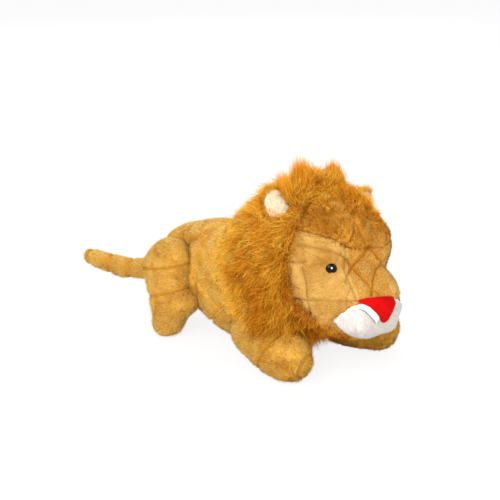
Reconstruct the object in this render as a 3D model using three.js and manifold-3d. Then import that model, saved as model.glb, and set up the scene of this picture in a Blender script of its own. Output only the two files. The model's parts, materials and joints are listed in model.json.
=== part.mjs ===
// Lion dog toy: a stuffed plush lion that lies low on its paws.
// Millimetres. +X points to the nose, +Y to the lion's left and +Z up, with the soles at z = 0.

import * as THREE from "three";
import { mergeVertices } from "three/addons/utils/BufferGeometryUtils.js";
import Module from "manifold-3d";

const wasm = await Module();
wasm.setup();

// Fabric and fits
const skinThickness = 2.4; // two layers of plush, quilted
const panelThickness = 1.6; // felt and ribbon on the face
const seamGap = 0.3; // between pieces that are sewn or packed together
const swingGap = 0.7; // between a limb and what it swings past
const turnGap = 0.25; // between the corners of a faceted root and the flats of its socket
const soleCut = 0.5; // how deep a paw is pressed flat where it stands

// Torso, from the rump to the neck
const rumpX = -150;
const rumpZ = 62;
const rumpHalfWidth = 34;
const rumpHalfHeight = 34;
const rumpDome = 19;
const waistX = -108;
const waistZ = 63;
const waistHalfWidth = 44;
const waistHalfHeight = 48;
const barrelX = -62;
const barrelZ = 59.5;
const barrelHalfWidth = 54;
const barrelHalfHeight = 57.5;
const chestX = -20;
const chestZ = 60;
const chestHalfWidth = 54;
const chestHalfHeight = 54;
const neckX = 16;
const neckZ = 94;
const neckRadius = 37;

// Head, measured from the middle of the neck, before it is tilted
const headTilt = 12; // degrees, its left side down
const headTurn = 4; // degrees, towards its right
const headNod = 10; // degrees either way
const craniumX = 30;
const craniumZ = 19;
const craniumHalfLength = 50;
const craniumHalfWidth = 57.5;
const craniumHalfHeight = 64;
const jawX = 34;
const jawZ = -8;
const jawHalfWidth = 49;
const jawHalfHeight = 34;
const cheekX = 68;
const cheekZ = -11.5;
const cheekHalfWidth = 46;
const cheekHalfHeight = 37;
const muzzleX = 101;
const muzzleZ = -23;
const muzzleHalfWidth = 29;
const muzzleHalfHeight = 19;
const muzzleDome = 10;
const snoutSquareness = 2.5; // 2 is round
const muzzleSeamX = 73; // where the white panel's seam crosses the underside
const muzzleSeamLean = 36; // degrees from upright
const browZ = 42; // above this the forehead panel runs round the head
const bridgeHalfWidth = 19;
const bridgeX = 52; // behind this the bridge has run into the forehead

// Nose, a padded red triangle whose top edge lies across the snout
const noseTopX = 99;
const noseTopZ = -4;
const noseWidth = 46;
const noseHeight = 22.5;
const noseLean = 28; // degrees that it faces up from straight ahead
const noseThickness = 3.2;
const noseCornerRadius = 3;
const labelWidth = 6;
const labelStart = 0.12; // shares of the nose's right edge, from its corner
const labelEnd = 0.78;

// Eyes
const eyeRadius = 6.5;
const eyeDepth = 4.6;
const eyeX = 71.5;
const eyeY = 36;
const eyeZ = 16;
const eyeSink = 0.8;
const shankRadius = 1.8;
const shankLength = 11;
const washerRadius = 7;
const washerThickness = 1.2;
const washerSlack = 1.3; // room for the skin's curve above the washer's rim

// Ears
const earHalfWidth = 16;
const earHalfHeight = 19;
const earHalfThickness = 4.6;
const liningMargin = 4;
const liningRise = 2.6; // how far the lining's middle stands in front of the ear's
const earAround = 108; // degrees from straight ahead
const earElevation = 35; // degrees above level
const earSink = 3;
const earSwing = 12;

// Mane: a ruff round the face on the head and a cape over the neck on the torso
const maneBackX = -47;
const maneBackZ = 84;
const maneBackHalfWidth = 62;
const maneBackHalfHeight = 62;
const maneMiddleX = 8;
const maneMiddleZ = 101;
const maneMiddleHalfWidth = 79;
const maneMiddleHalfHeight = 91.5;
const maneFrontX = 44;
const maneFrontZ = 108;
const maneFrontHalfWidth = 69;
const maneFrontHalfHeight = 81;
const maneDome = 12;
const maneSplitX = 14;
const tuftX = 36;
const tuftSink = 34; // how deep in the mane each upright tuft starts
const tuftRootRadius = 15;
const tufts = [ // the place across the toy, the height and the half width of each tip
  { y: -35, z: 200, tip: 5 },
  { y: -12, z: 208, tip: 5 },
  { y: 26, z: 200, tip: 7 },
];

// Front legs
const shoulderX = 1;
const shoulderY = 42;
const shoulderZ = 35;
const shoulderRadius = 30;
const shoulderHalfThickness = 26;
const pawReachRight = 46; // how far ahead of the shoulder each paw's middle lies
const pawReachLeft = 60;
const pawOutRight = 49; // how far each paw's middle lies from the middle of the toy
const pawOutLeft = 64;
const pawHalfWidth = 23.5;
const pawHalfHeight = 24;
const pawDome = 23;
const forearmSwell = 1; // how much thicker the forearm is than the paw
const shoulderSwing = 12;

// Hind legs
const hipX = -127;
const hipY = 40;
const hipZ = 62;
const haunchRadius = 33.5;
const haunchHalfThickness = 25.5;
const footX = -110;
const footY = 63;
const ankleRadius = 14;
const ankleZ = 10;
const thighRadius = 22;
const hipSwing = 12;

// Tail
const tailRootX = -166;
const tailRootZ = 51;
const tailRadius = 10.2;
const tailBallRadius = 11.8;
const tailLength = 118;
const tailDrop = 24;
const tailSideways = 28; // how far its tip lies to the lion's right
const tailSwing = 20;

// Squeaker in its pouch
const squeakerX = -75;
const squeakerZ = 65;
const bulbRadius = 21;
const bulbHalfHeight = 15;
const bulbWall = 1.2;
const bulbNeckRadius = 5;
const bulbNeckHeight = 5;
const reedBore = 1.5;
const pouchWall = 1.6;

// Fineness of the forms
const torsoSides = 20;
const headSides = 18;
const maneSides = 22;
const legSides = 12;
const tailSides = 9;
const rootSegments = 16;
const innerFineness = 0.6;
const roomFineness = 0.6;
const beadSegments = 12;
const sliver = 0.06; // edges shorter than this are closed up after cutting

const up = new THREE.Vector3(0, 0, 1);
const sideways = new THREE.Vector3(0, 1, 0);
const forward = new THREE.Vector3(1, 0, 0);
const radians = THREE.MathUtils.degToRad;

function fabric(color, roughness = 0.95) {
  return new THREE.MeshStandardMaterial({ color, roughness, metalness: 0 });
}

const goldPlush = fabric(0xd7984f);
const palePlush = fabric(0xeab95f);
const darkPlush = fabric(0xc07d22);
const maneFur = fabric(0xc2781d);
const whitePlush = fabric(0xf2ece7);
const creamPlush = fabric(0xf7e1ba);
const redFelt = fabric(0xf01512, 0.8);
const ribbon = fabric(0xf4f4f2, 0.6);
const fibreFill = fabric(0xf3f1ec, 1);
const pouchCloth = fabric(0xd8d2c4);
const eyePlastic = new THREE.MeshStandardMaterial({ color: 0x0c0a09, roughness: 0.08, metalness: 0 });
const washerPlastic = new THREE.MeshStandardMaterial({ color: 0xe8e8e6, roughness: 0.5, metalness: 0 });
const squeakerPlastic = new THREE.MeshStandardMaterial({ color: 0xdfe6e8, roughness: 0.4, metalness: 0 });

// Solids

function solidOf(geometry) {
  const bare = geometry.clone();
  bare.deleteAttribute("normal");
  bare.deleteAttribute("uv");
  const merged = mergeVertices(bare, 1e-4);
  const index = merged.index.array;
  const corners = [];
  for (let i = 0; i < index.length; i += 3) {
    const [a, b, c] = [index[i], index[i + 1], index[i + 2]];
    if (a !== b && b !== c && c !== a) {
      corners.push(a, b, c);
    }
  }
  const mesh = new wasm.Mesh({
    numProp: 3,
    vertProperties: new Float32Array(merged.attributes.position.array),
    triVerts: new Uint32Array(corners),
  });
  return new wasm.Manifold(mesh);
}

// The solid without the crumbs that a cut can leave beside it.
function largestBody(solid) {
  return solid.decompose().reduce((best, each) => (each.volume() > best.volume() ? each : best));
}

function geometryOf(solid) {
  const mesh = solid.getMesh();
  const geometry = new THREE.BufferGeometry();
  geometry.setAttribute("position", new THREE.BufferAttribute(new Float32Array(mesh.vertProperties), 3));
  geometry.setIndex(new THREE.BufferAttribute(new Uint32Array(mesh.triVerts), 1));
  geometry.computeVertexNormals();
  return geometry;
}

function moved(solid, matrix) {
  return solid.transform(matrix.elements);
}

function shifted(solid, x, y, z) {
  return moved(solid, new THREE.Matrix4().makeTranslation(x, y, z));
}

// The solid turned by some degrees about an axis through a pivot.
function swung(solid, pivot, axis, degrees) {
  const matrix = new THREE.Matrix4().makeTranslation(pivot.x, pivot.y, pivot.z);
  matrix.multiply(new THREE.Matrix4().makeRotationAxis(axis, radians(degrees)));
  matrix.multiply(new THREE.Matrix4().makeTranslation(-pivot.x, -pivot.y, -pivot.z));
  return moved(solid, matrix);
}

// Everything that the solid passes through as it swings both ways.
function sweptBy(solid, pivot, axis, degrees) {
  let swept = solid;
  for (const share of [-1, 1]) {
    swept = swept.add(swung(solid, pivot, axis, degrees * share));
  }
  return swept;
}

function box(minimum, maximum) {
  const size = new THREE.Vector3().subVectors(maximum, minimum);
  const middle = new THREE.Vector3().addVectors(minimum, maximum).multiplyScalar(0.5);
  const geometry = new THREE.BoxGeometry(size.x, size.y, size.z);
  geometry.translate(middle.x, middle.y, middle.z);
  return solidOf(geometry);
}

// A form with few facets that holds the fine one with a gap all round it.
function roomFor(form, gap) {
  const sides = Math.ceil(form.sides * roomFineness);
  const largest = Math.max(...form.stations.map((each) => Math.max(each.half.x, each.half.y)));
  const facet = largest * (1 / Math.cos(Math.PI / sides) - 1);
  return swell({ ...form, sides, domeSteps: 2 }, gap + facet);
}

function station(x, y, z, halfWidth, halfHeight) {
  return { at: new THREE.Vector3(x, y, z), half: new THREE.Vector3(halfWidth, halfHeight, 0) };
}

// A round section's sine or cosine, filled out towards its corners where square is over 2.
function squared(value, square) {
  return Math.sign(value) * Math.abs(value) ** (2 / square);
}

// A closed form that swells and tapers through its stations and ends in a dome at either end.
// Its sections stand square to its run or, in an upright form, square to the X axis.
// What is grown by less than nothing is an inner surface, and is made with fewer facets.
function swell(form, grow = 0) {
  const { stations, domes, square = 2, domeSteps = 3, facetBelow = false } = form;
  const sides = grow < 0 ? Math.ceil(form.sides * innerFineness) : form.sides;
  const steps = grow < 0 ? Math.ceil(form.steps * innerFineness) : form.steps;
  const centres = new THREE.CatmullRomCurve3(stations.map((each) => each.at), false, "catmullrom");
  const halves = new THREE.CatmullRomCurve3(stations.map((each) => each.half), false, "catmullrom");
  const rings = [];
  const ahead = (t) => (form.upright ? forward.clone() : centres.getTangent(t));
  function addRing(t, along, scale) {
    const tangent = ahead(t);
    const across = sideways.clone().addScaledVector(tangent, -sideways.dot(tangent)).normalize();
    const over = new THREE.Vector3().crossVectors(tangent, across);
    const half = halves.getPoint(t);
    rings.push({
      centre: centres.getPoint(t).addScaledVector(tangent, along),
      across: across.multiplyScalar((half.x + grow) * scale),
      over: over.multiplyScalar((half.y + grow) * scale),
    });
  }
  for (let i = domeSteps - 1; i > 0; i -= 1) {
    const angle = (i / domeSteps) * (Math.PI / 2);
    addRing(0, -(domes[0] + grow) * Math.sin(angle), Math.cos(angle));
  }
  for (let i = 0; i <= steps; i += 1) {
    addRing(i / steps, 0, 1);
  }
  for (let i = 1; i < domeSteps; i += 1) {
    const angle = (i / domeSteps) * (Math.PI / 2);
    addRing(1, (domes[1] + grow) * Math.sin(angle), Math.cos(angle));
  }
  const startPole = centres.getPoint(0).addScaledVector(ahead(0), -domes[0] - grow);
  const endPole = centres.getPoint(1).addScaledVector(ahead(1), domes[1] + grow);
  const points = [startPole, endPole];
  for (const ring of rings) {
    for (let j = 0; j < sides; j += 1) {
      const angle = ((j + (facetBelow ? 0.5 : 0)) / sides) * Math.PI * 2;
      const point = ring.centre.clone();
      point.addScaledVector(ring.across, squared(Math.cos(angle), square));
      point.addScaledVector(ring.over, squared(Math.sin(angle), square));
      points.push(point);
    }
  }
  const index = [];
  const corner = (ring, side) => 2 + ring * sides + (side % sides);
  const last = rings.length - 1;
  for (let j = 0; j < sides; j += 1) {
    index.push(0, corner(0, j + 1), corner(0, j));
    index.push(1, corner(last, j), corner(last, j + 1));
    for (let i = 0; i < last; i += 1) {
      index.push(corner(i, j), corner(i, j + 1), corner(i + 1, j));
      index.push(corner(i, j + 1), corner(i + 1, j + 1), corner(i + 1, j));
    }
  }
  const geometry = new THREE.BufferGeometry().setFromPoints(points);
  geometry.setIndex(index);
  return solidOf(geometry);
}

function ellipsoid(halfX, halfY, halfZ, across = 14, rows = 8) {
  const geometry = new THREE.SphereGeometry(1, across, rows);
  geometry.rotateX(Math.PI / 2);
  geometry.scale(halfX, halfY, halfZ);
  return solidOf(geometry);
}

// A round root whose shape doesn't change as it turns about the Y axis through its middle.
function roundRoot(radius, halfThickness, grow = 0) {
  const profile = [];
  const rows = 6;
  for (let i = 0; i <= rows; i += 1) {
    const angle = (i / rows - 0.5) * Math.PI;
    profile.push(new THREE.Vector2(
      i % rows === 0 ? 0 : (radius + grow) * Math.cos(angle),
      (halfThickness + grow) * Math.sin(angle),
    ));
  }
  return solidOf(new THREE.LatheGeometry(profile, rootSegments));
}

// The socket that a round root turns in.
function socket(radius, halfThickness) {
  const flats = 1 / Math.cos(Math.PI / rootSegments);
  return roundRoot((radius + turnGap) * flats, halfThickness + swingGap);
}

function add(group, name, solid, material, inverse) {
  const whole = largestBody(solid.simplify(sliver));
  const geometry = geometryOf(inverse ? moved(whole, inverse) : whole);
  const mesh = new THREE.Mesh(geometry, material);
  mesh.name = name;
  group.add(mesh);
  return mesh;
}

function pivotGroup(parent, pivot) {
  const group = new THREE.Group();
  group.position.copy(pivot);
  parent.add(group);
  return group;
}

function away(pivot) {
  return new THREE.Matrix4().makeTranslation(-pivot.x, -pivot.y, -pivot.z);
}

const floor = box(new THREE.Vector3(-400, -300, -60), new THREE.Vector3(400, 300, 0));

// Torso

const headMatrix = new THREE.Matrix4().makeTranslation(neckX, 0, neckZ);
headMatrix.multiply(new THREE.Matrix4().makeRotationZ(radians(-headTurn)));
headMatrix.multiply(new THREE.Matrix4().makeRotationX(radians(-headTilt)));
const headInverse = headMatrix.clone().invert();

const neck = new THREE.Vector3(neckX, 0, neckZ);
const torsoForm = {
  stations: [
    station(rumpX, 0, rumpZ, rumpHalfWidth, rumpHalfHeight),
    station(waistX, 0, waistZ, waistHalfWidth, waistHalfHeight),
    station(barrelX, 0, barrelZ, barrelHalfWidth, barrelHalfHeight),
    station(chestX, 0, chestZ, chestHalfWidth, chestHalfHeight),
    station(neckX - 2, 0, neckZ - 2, neckRadius - 2, neckRadius - 2),
  ],
  domes: [rumpDome, 8],
  upright: true,
  sides: torsoSides,
  steps: 9,
};

// The neck ends in a ball whose facets run round the head's hinge.
function torsoSolid(grow = 0) {
  return swell(torsoForm, grow).add(moved(roundRoot(neckRadius, neckRadius, grow), headMatrix));
}

// Legs

const legSidesOf = [{ side: -1, word: "right" }, { side: 1, word: "left" }];

function frontLeg(side) {
  const reach = side < 0 ? pawReachRight : pawReachLeft;
  const out = side < 0 ? pawOutRight : pawOutLeft;
  const pivot = new THREE.Vector3(shoulderX, side * shoulderY, shoulderZ);
  const pawZ = pawHalfHeight * Math.cos(Math.PI / legSides) - soleCut;
  const form = {
    stations: [
      station(shoulderX, side * shoulderY, shoulderZ, shoulderHalfThickness - 4, shoulderRadius - 6),
      station(
        shoulderX + reach * 0.45,
        side * (shoulderY + out) / 2,
        pawZ + forearmSwell,
        pawHalfWidth + forearmSwell,
        pawHalfHeight + forearmSwell,
      ),
      station(shoulderX + reach, side * out, pawZ, pawHalfWidth, pawHalfHeight),
    ],
    domes: [4, pawDome],
    facetBelow: true,
    sides: legSides,
    steps: 5,
  };
  return {
    name: "front_leg",
    pivot,
    swing: shoulderSwing,
    form,
    root: (grow) => shifted(roundRoot(shoulderRadius, shoulderHalfThickness, grow), ...pivot.toArray()),
    socket: shifted(socket(shoulderRadius, shoulderHalfThickness), ...pivot.toArray()),
    mouthRadius: shoulderRadius * 0.55,
    side,
  };
}

function hindLeg(side) {
  const pivot = new THREE.Vector3(hipX, side * hipY, hipZ);
  const form = {
    stations: [
      station(hipX + 2, side * (hipY + 4), hipZ - 6, thighRadius, thighRadius + 4),
      station(
        (hipX + footX) / 2,
        side * (hipY + footY) / 2,
        (hipZ + ankleZ) / 2,
        thighRadius - 2,
        thighRadius + 2,
      ),
      station(footX, side * footY, ankleZ, ankleRadius, ankleRadius + 2),
    ],
    domes: [4, ankleZ + soleCut],
    facetBelow: true,
    sides: legSides,
    steps: 5,
  };
  return {
    name: "hind_leg",
    pivot,
    swing: hipSwing,
    form,
    root: (grow) => shifted(roundRoot(haunchRadius, haunchHalfThickness, grow), ...pivot.toArray()),
    socket: shifted(socket(haunchRadius, haunchHalfThickness), ...pivot.toArray()),
    mouthRadius: haunchRadius * 0.55,
    side,
  };
}

function legSolid(leg, grow = 0) {
  return leg.root(grow).add(swell(leg.form, grow)).subtract(floor);
}

// The space that a leg needs in what stays still beside it.
function legSpace(leg) {
  const limb = roomFor(leg.form, swingGap);
  return leg.socket.add(sweptBy(limb, leg.pivot, sideways, leg.swing));
}

// A way through the inner side of a leg's root, where its filling was pushed in.
function legMouth(leg) {
  const reach = 40;
  const geometry = new THREE.CylinderGeometry(leg.mouthRadius, leg.mouthRadius, reach, rootSegments);
  const solid = solidOf(geometry);
  return shifted(solid, leg.pivot.x, leg.pivot.y - leg.side * reach / 2, leg.pivot.z);
}

const legs = [];
for (const { side, word } of legSidesOf) {
  legs.push({ ...frontLeg(side), word });
  legs.push({ ...hindLeg(side), word });
}

// Tail

const tailPivot = new THREE.Vector3(tailRootX, 0, tailRootZ);

// Shares of the tail's length, of its sideways reach, of its drop and of its radius.
const tailRun = [[0, 0, 0, 1], [0.3, 0.1, 0.7, 1], [0.65, 0.45, 1, 1], [1, 1, 0.75, 0.85]];
const tailForm = {
  stations: tailRun.map(([back, aside, down, thick]) => station(
    tailRootX - tailLength * back,
    -tailSideways * aside,
    tailRootZ - tailDrop * down,
    tailRadius * thick,
    tailRadius * thick,
  )),
  domes: [3, 7],
  sides: tailSides,
  steps: 6,
};

function tailBall(grow = 0) {
  const radius = tailBallRadius + grow;
  return shifted(ellipsoid(radius, radius, radius, 14, 10), ...tailPivot.toArray());
}

function tailSolid(grow = 0) {
  return tailBall(grow).add(swell(tailForm, grow));
}

const tailSpace = tailBall(swingGap).add(sweptBy(roomFor(tailForm, swingGap), tailPivot, up, tailSwing));

// Head, in its own frame about the middle of the neck

const snoutForm = {
  stations: [
    station(jawX, 0, jawZ, jawHalfWidth, jawHalfHeight),
    station(cheekX, 0, cheekZ, cheekHalfWidth, cheekHalfHeight),
    station(muzzleX, 0, muzzleZ, muzzleHalfWidth, muzzleHalfHeight),
  ],
  domes: [30, muzzleDome],
  square: snoutSquareness,
  upright: true,
  sides: headSides,
  steps: 6,
};

function cranium(grow = 0) {
  const solid = ellipsoid(
    craniumHalfLength + grow,
    craniumHalfWidth + grow,
    craniumHalfHeight + grow,
    Math.ceil(grow < 0 ? headSides * innerFineness : headSides),
    grow < 0 ? 7 : 11,
  );
  return shifted(solid, craniumX, 0, craniumZ);
}

function headSolid(grow = 0) {
  return cranium(grow).add(swell(snoutForm, grow));
}

// The neck's end, as the nodding head passes over it.
const neckSpace = socket(neckRadius, neckRadius).add(sweptBy(
  moved(roomFor(torsoForm, swingGap), headInverse),
  new THREE.Vector3(),
  sideways,
  headNod,
));

function surfaceAt(solid, from, direction) {
  const mesh = new THREE.Mesh(geometryOf(solid), new THREE.MeshBasicMaterial({ side: THREE.DoubleSide }));
  const hits = new THREE.Raycaster(from, direction.clone().normalize()).intersectObject(mesh);
  return hits[hits.length - 1];
}

// Places a solid that was made standing on z = 0 onto a surface point, facing out along a direction.
function stood(solid, point, direction) {
  const turn = new THREE.Quaternion().setFromUnitVectors(up, direction.clone().normalize());
  const matrix = new THREE.Matrix4().compose(point, turn, new THREE.Vector3(1, 1, 1));
  return moved(solid, matrix);
}

const headShell = headSolid().subtract(headSolid(-skinThickness));

// Nose

const noseMatrix = new THREE.Matrix4().makeTranslation(noseTopX, 0, noseTopZ);
noseMatrix.multiply(new THREE.Matrix4().makeRotationY(Math.PI / 2 - radians(noseLean)));

// A flat outline in the nose's plane, through the whole snout. Its first axis runs down the nose.
function throughNose(outline) {
  const depth = 60;
  const geometry = new THREE.ExtrudeGeometry(outline, { depth, bevelEnabled: false, curveSegments: 4 });
  geometry.translate(0, 0, -depth / 2);
  return moved(solidOf(geometry), noseMatrix);
}

const noseCorners = [
  new THREE.Vector2(0, noseWidth / 2),
  new THREE.Vector2(0, -noseWidth / 2),
  new THREE.Vector2(noseHeight, 0),
];

function roundedOutline(corners, radius) {
  const outline = new THREE.Shape();
  corners.forEach((corner, i) => {
    const before = corners[(i + corners.length - 1) % corners.length];
    const after = corners[(i + 1) % corners.length];
    const start = corner.clone().add(before.clone().sub(corner).setLength(radius));
    const end = corner.clone().add(after.clone().sub(corner).setLength(radius));
    if (i === 0) {
      outline.moveTo(start.x, start.y);
    } else {
      outline.lineTo(start.x, start.y);
    }
    outline.quadraticCurveTo(corner.x, corner.y, end.x, end.y);
  });
  outline.closePath();
  return outline;
}

function labelOutline() {
  const [, corner, tip] = noseCorners;
  const edge = tip.clone().sub(corner);
  const outward = new THREE.Vector2(edge.y, -edge.x).normalize();
  const start = corner.clone().addScaledVector(edge, labelStart).addScaledVector(outward, seamGap);
  const end = corner.clone().addScaledVector(edge, labelEnd).addScaledVector(outward, seamGap);
  return new THREE.Shape([
    start,
    start.clone().addScaledVector(outward, labelWidth),
    end.clone().addScaledVector(outward, labelWidth),
    end,
  ]);
}

// What lies ahead of the nose's top edge, so that nothing is made on the underside of the jaw.
const frontOfHead = box(new THREE.Vector3(noseTopX - 6, -90, -120), new THREE.Vector3(220, 90, 120));
const nosePatch = swell(snoutForm, noseThickness)
  .intersect(throughNose(roundedOutline(noseCorners, noseCornerRadius)))
  .intersect(frontOfHead)
  .subtract(headSolid(seamGap));
const noseLabel = swell(snoutForm, panelThickness)
  .intersect(throughNose(labelOutline()))
  .intersect(frontOfHead)
  .subtract(headSolid(seamGap));

// The head's skin is cut into the white muzzle, the forehead with the bridge, and the cheeks

function muzzleRegion(grow = 0) {
  const block = box(new THREE.Vector3(-grow, -90, -150), new THREE.Vector3(150, 90, 150));
  const matrix = new THREE.Matrix4().makeTranslation(muzzleSeamX, 0, muzzleZ - muzzleHalfHeight);
  matrix.multiply(new THREE.Matrix4().makeRotationY(radians(muzzleSeamLean)));
  return moved(block, matrix);
}

function foreheadRegion(grow = 0) {
  const over = box(
    new THREE.Vector3(-120, -90, browZ - grow),
    new THREE.Vector3(220, 90, browZ + 120),
  );
  const bridge = box(
    new THREE.Vector3(bridgeX - grow, -bridgeHalfWidth - grow, cheekZ),
    new THREE.Vector3(220, bridgeHalfWidth + grow, browZ + 1),
  );
  return over.add(bridge);
}

// Eyes and the washers that lock them behind the skin

const eyes = legSidesOf.map(({ side, word }) => {
  const outward = new THREE.Vector3(eyeX - craniumX, side * eyeY, eyeZ - craniumZ).normalize();
  const from = new THREE.Vector3(craniumX, 0, craniumZ);
  const hit = surfaceAt(headSolid(), from, outward);
  const seat = hit.point.clone().addScaledVector(outward, -eyeSink);
  return { word, seat, outward };
});

function eyeBead(grow = 0) {
  const profile = [new THREE.Vector2(0, -shankLength - grow)];
  profile.push(new THREE.Vector2(shankRadius + grow, -shankLength - grow));
  profile.push(new THREE.Vector2(shankRadius + grow, -grow));
  profile.push(new THREE.Vector2(eyeRadius + grow, -grow));
  const rows = 4;
  for (let i = 0; i < rows; i += 1) {
    const angle = (i / rows) * (Math.PI / 2);
    profile.push(new THREE.Vector2(
      (eyeRadius + grow) * Math.cos(angle),
      1 + (eyeDepth - 1 + grow) * Math.sin(angle),
    ));
  }
  profile.push(new THREE.Vector2(0, eyeDepth + grow));
  const geometry = new THREE.LatheGeometry(profile, beadSegments);
  geometry.rotateX(Math.PI / 2);
  return solidOf(geometry);
}

function eyeWasher(bore, grow = 0) {
  const top = -skinThickness - washerSlack;
  const profile = [
    new THREE.Vector2(bore, top - washerThickness - grow),
    new THREE.Vector2(washerRadius + grow, top - washerThickness - grow),
    new THREE.Vector2(washerRadius + grow, top + grow),
    new THREE.Vector2(bore, top + grow),
  ];
  profile.push(profile[0].clone());
  const geometry = new THREE.LatheGeometry(profile, beadSegments);
  geometry.rotateX(Math.PI / 2);
  return solidOf(geometry);
}

// Ears, each on a hinge line where its foot is sewn into the head

const ears = legSidesOf.map(({ side, word }) => {
  const outward = new THREE.Vector3(
    Math.cos(radians(earElevation)) * Math.cos(radians(earAround)),
    side * Math.cos(radians(earElevation)) * Math.sin(radians(earAround)),
    Math.sin(radians(earElevation)),
  );
  const from = new THREE.Vector3(craniumX, 0, craniumZ);
  const hit = surfaceAt(cranium(), from, outward);
  const foot = hit.point.clone().addScaledVector(outward, -earSink);
  const facing = forward.clone().addScaledVector(outward, -outward.x).normalize();
  const broad = new THREE.Vector3().crossVectors(outward, facing);
  const matrix = new THREE.Matrix4().makeBasis(facing, broad, outward);
  matrix.setPosition(foot);
  return { word, matrix };
});

// In an ear's own frame it faces +X, is broad along Y and stands up along Z from its foot.
function earWhole(grow = 0) {
  const solid = ellipsoid(earHalfThickness + grow, earHalfWidth + grow, earHalfHeight + grow);
  return shifted(solid, 0, 0, earHalfHeight);
}

function earLining(grow = 0) {
  const solid = ellipsoid(
    earHalfThickness - 1 + grow,
    earHalfWidth - liningMargin + grow,
    earHalfHeight - liningMargin + grow,
  );
  return shifted(solid, liningRise, 0, earHalfHeight);
}

function earSolid(grow = 0) {
  return earWhole(grow).add(earLining(grow));
}

function earSpace(ear) {
  return moved(sweptBy(earSolid(seamGap), new THREE.Vector3(), sideways, earSwing), ear.matrix);
}

// Mane

const maneForm = {
  stations: [
    station(maneBackX, 0, maneBackZ, maneBackHalfWidth, maneBackHalfHeight),
    station(maneMiddleX, 0, maneMiddleZ, maneMiddleHalfWidth, maneMiddleHalfHeight),
    station(maneFrontX, 0, maneFrontZ, maneFrontHalfWidth, maneFrontHalfHeight),
  ],
  domes: [maneDome, maneDome],
  upright: true,
  sides: maneSides,
  steps: 6,
};

const headInPlace = moved(headSolid(seamGap), headMatrix);
const neckBall = moved(roundRoot(neckRadius, neckRadius, seamGap), headMatrix);
let maneCut = roomFor(torsoForm, seamGap).add(neckBall).add(headInPlace);
for (const leg of legs) {
  maneCut = maneCut.add(leg.root(seamGap)).add(swell(leg.form, seamGap));
}
for (const ear of ears) {
  maneCut = maneCut.add(moved(moved(earSolid(seamGap), ear.matrix), headMatrix));
}
function tuftSolid({ y, z, tip }) {
  return swell({
    stations: [
      station(tuftX, y * 0.8, z - tuftSink, tuftRootRadius, tuftRootRadius),
      station(tuftX - 1, y * 0.95, z - tuftSink * 0.4, (tuftRootRadius + tip) / 2, tuftRootRadius * 0.7),
      station(tuftX - 4, y, z - tip, tip, tip * 0.8),
    ],
    domes: [4, tip],
    sides: 8,
    steps: 3,
    domeSteps: 2,
  });
}

const mane = tufts.reduce((whole, tuft) => whole.add(tuftSolid(tuft)), swell(maneForm)).subtract(maneCut);
const farBack = box(new THREE.Vector3(-400, -300, -100), new THREE.Vector3(maneSplitX - seamGap, 300, 400));
const farFront = box(new THREE.Vector3(maneSplitX, -300, -100), new THREE.Vector3(400, 300, 400));

// Squeaker

function bulbProfile(grow, wall) {
  const outer = [];
  const rows = 5;
  const neckRadiusHere = bulbNeckRadius + grow;
  const start = Math.acos(Math.min(1, neckRadiusHere / (bulbRadius + grow)));
  for (let i = 0; i <= rows; i += 1) {
    const angle = -Math.PI / 2 + (i / rows) * (Math.PI / 2 + start);
    outer.push(new THREE.Vector2(
      i === 0 ? 0 : (bulbRadius + grow) * Math.cos(angle),
      (bulbHalfHeight + grow) * Math.sin(angle),
    ));
  }
  outer.push(new THREE.Vector2(neckRadiusHere, bulbHalfHeight + bulbNeckHeight));
  if (wall === 0) {
    outer.push(new THREE.Vector2(0, bulbHalfHeight + bulbNeckHeight));
    return outer;
  }
  const inner = outer.slice(0, -1).reverse().map((point) => new THREE.Vector2(
    point.x === 0 ? 0 : point.x * (1 - wall / (bulbRadius + grow)),
    point.y * (1 - wall / (bulbHalfHeight + grow)),
  ));
  const rim = new THREE.Vector2(inner[0].x, bulbHalfHeight + bulbNeckHeight);
  return [...outer, rim, ...inner];
}

function lathed(profile, x, z) {
  const geometry = new THREE.LatheGeometry(profile, 14);
  geometry.rotateX(Math.PI / 2);
  geometry.translate(x, 0, z);
  return solidOf(geometry);
}

const bulb = lathed(bulbProfile(0, bulbWall), squeakerX, squeakerZ);
const pouchGrow = pouchWall + seamGap;
const pouch = lathed(bulbProfile(pouchGrow, pouchWall), squeakerX, squeakerZ);
const pouchSpace = lathed(bulbProfile(pouchGrow + seamGap, 0), squeakerX, squeakerZ)
  .add(lathed([
    new THREE.Vector2(0, 0),
    new THREE.Vector2(bulbNeckRadius + pouchGrow + seamGap, 0),
    new THREE.Vector2(bulbNeckRadius + pouchGrow + seamGap, bulbHalfHeight + bulbNeckHeight + seamGap),
    new THREE.Vector2(0, bulbHalfHeight + bulbNeckHeight + seamGap),
  ], squeakerX, squeakerZ));

function reed() {
  const outer = bulbNeckRadius * (1 - bulbWall / bulbRadius) - seamGap;
  const top = bulbHalfHeight + bulbNeckHeight;
  const profile = [
    new THREE.Vector2(reedBore, bulbHalfHeight - 1),
    new THREE.Vector2(outer, bulbHalfHeight - 1),
    new THREE.Vector2(outer, top),
    new THREE.Vector2(reedBore, top),
  ];
  profile.push(profile[0].clone());
  return lathed(profile, squeakerX, squeakerZ);
}

// Assembly

const lion = new THREE.Group();
const torsoGroup = pivotGroup(lion, new THREE.Vector3());

let torsoCut = tailSpace;
for (const leg of legs) {
  torsoCut = torsoCut.add(legSpace(leg));
}
const torsoShell = torsoSolid().subtract(torsoSolid(-skinThickness));
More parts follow.
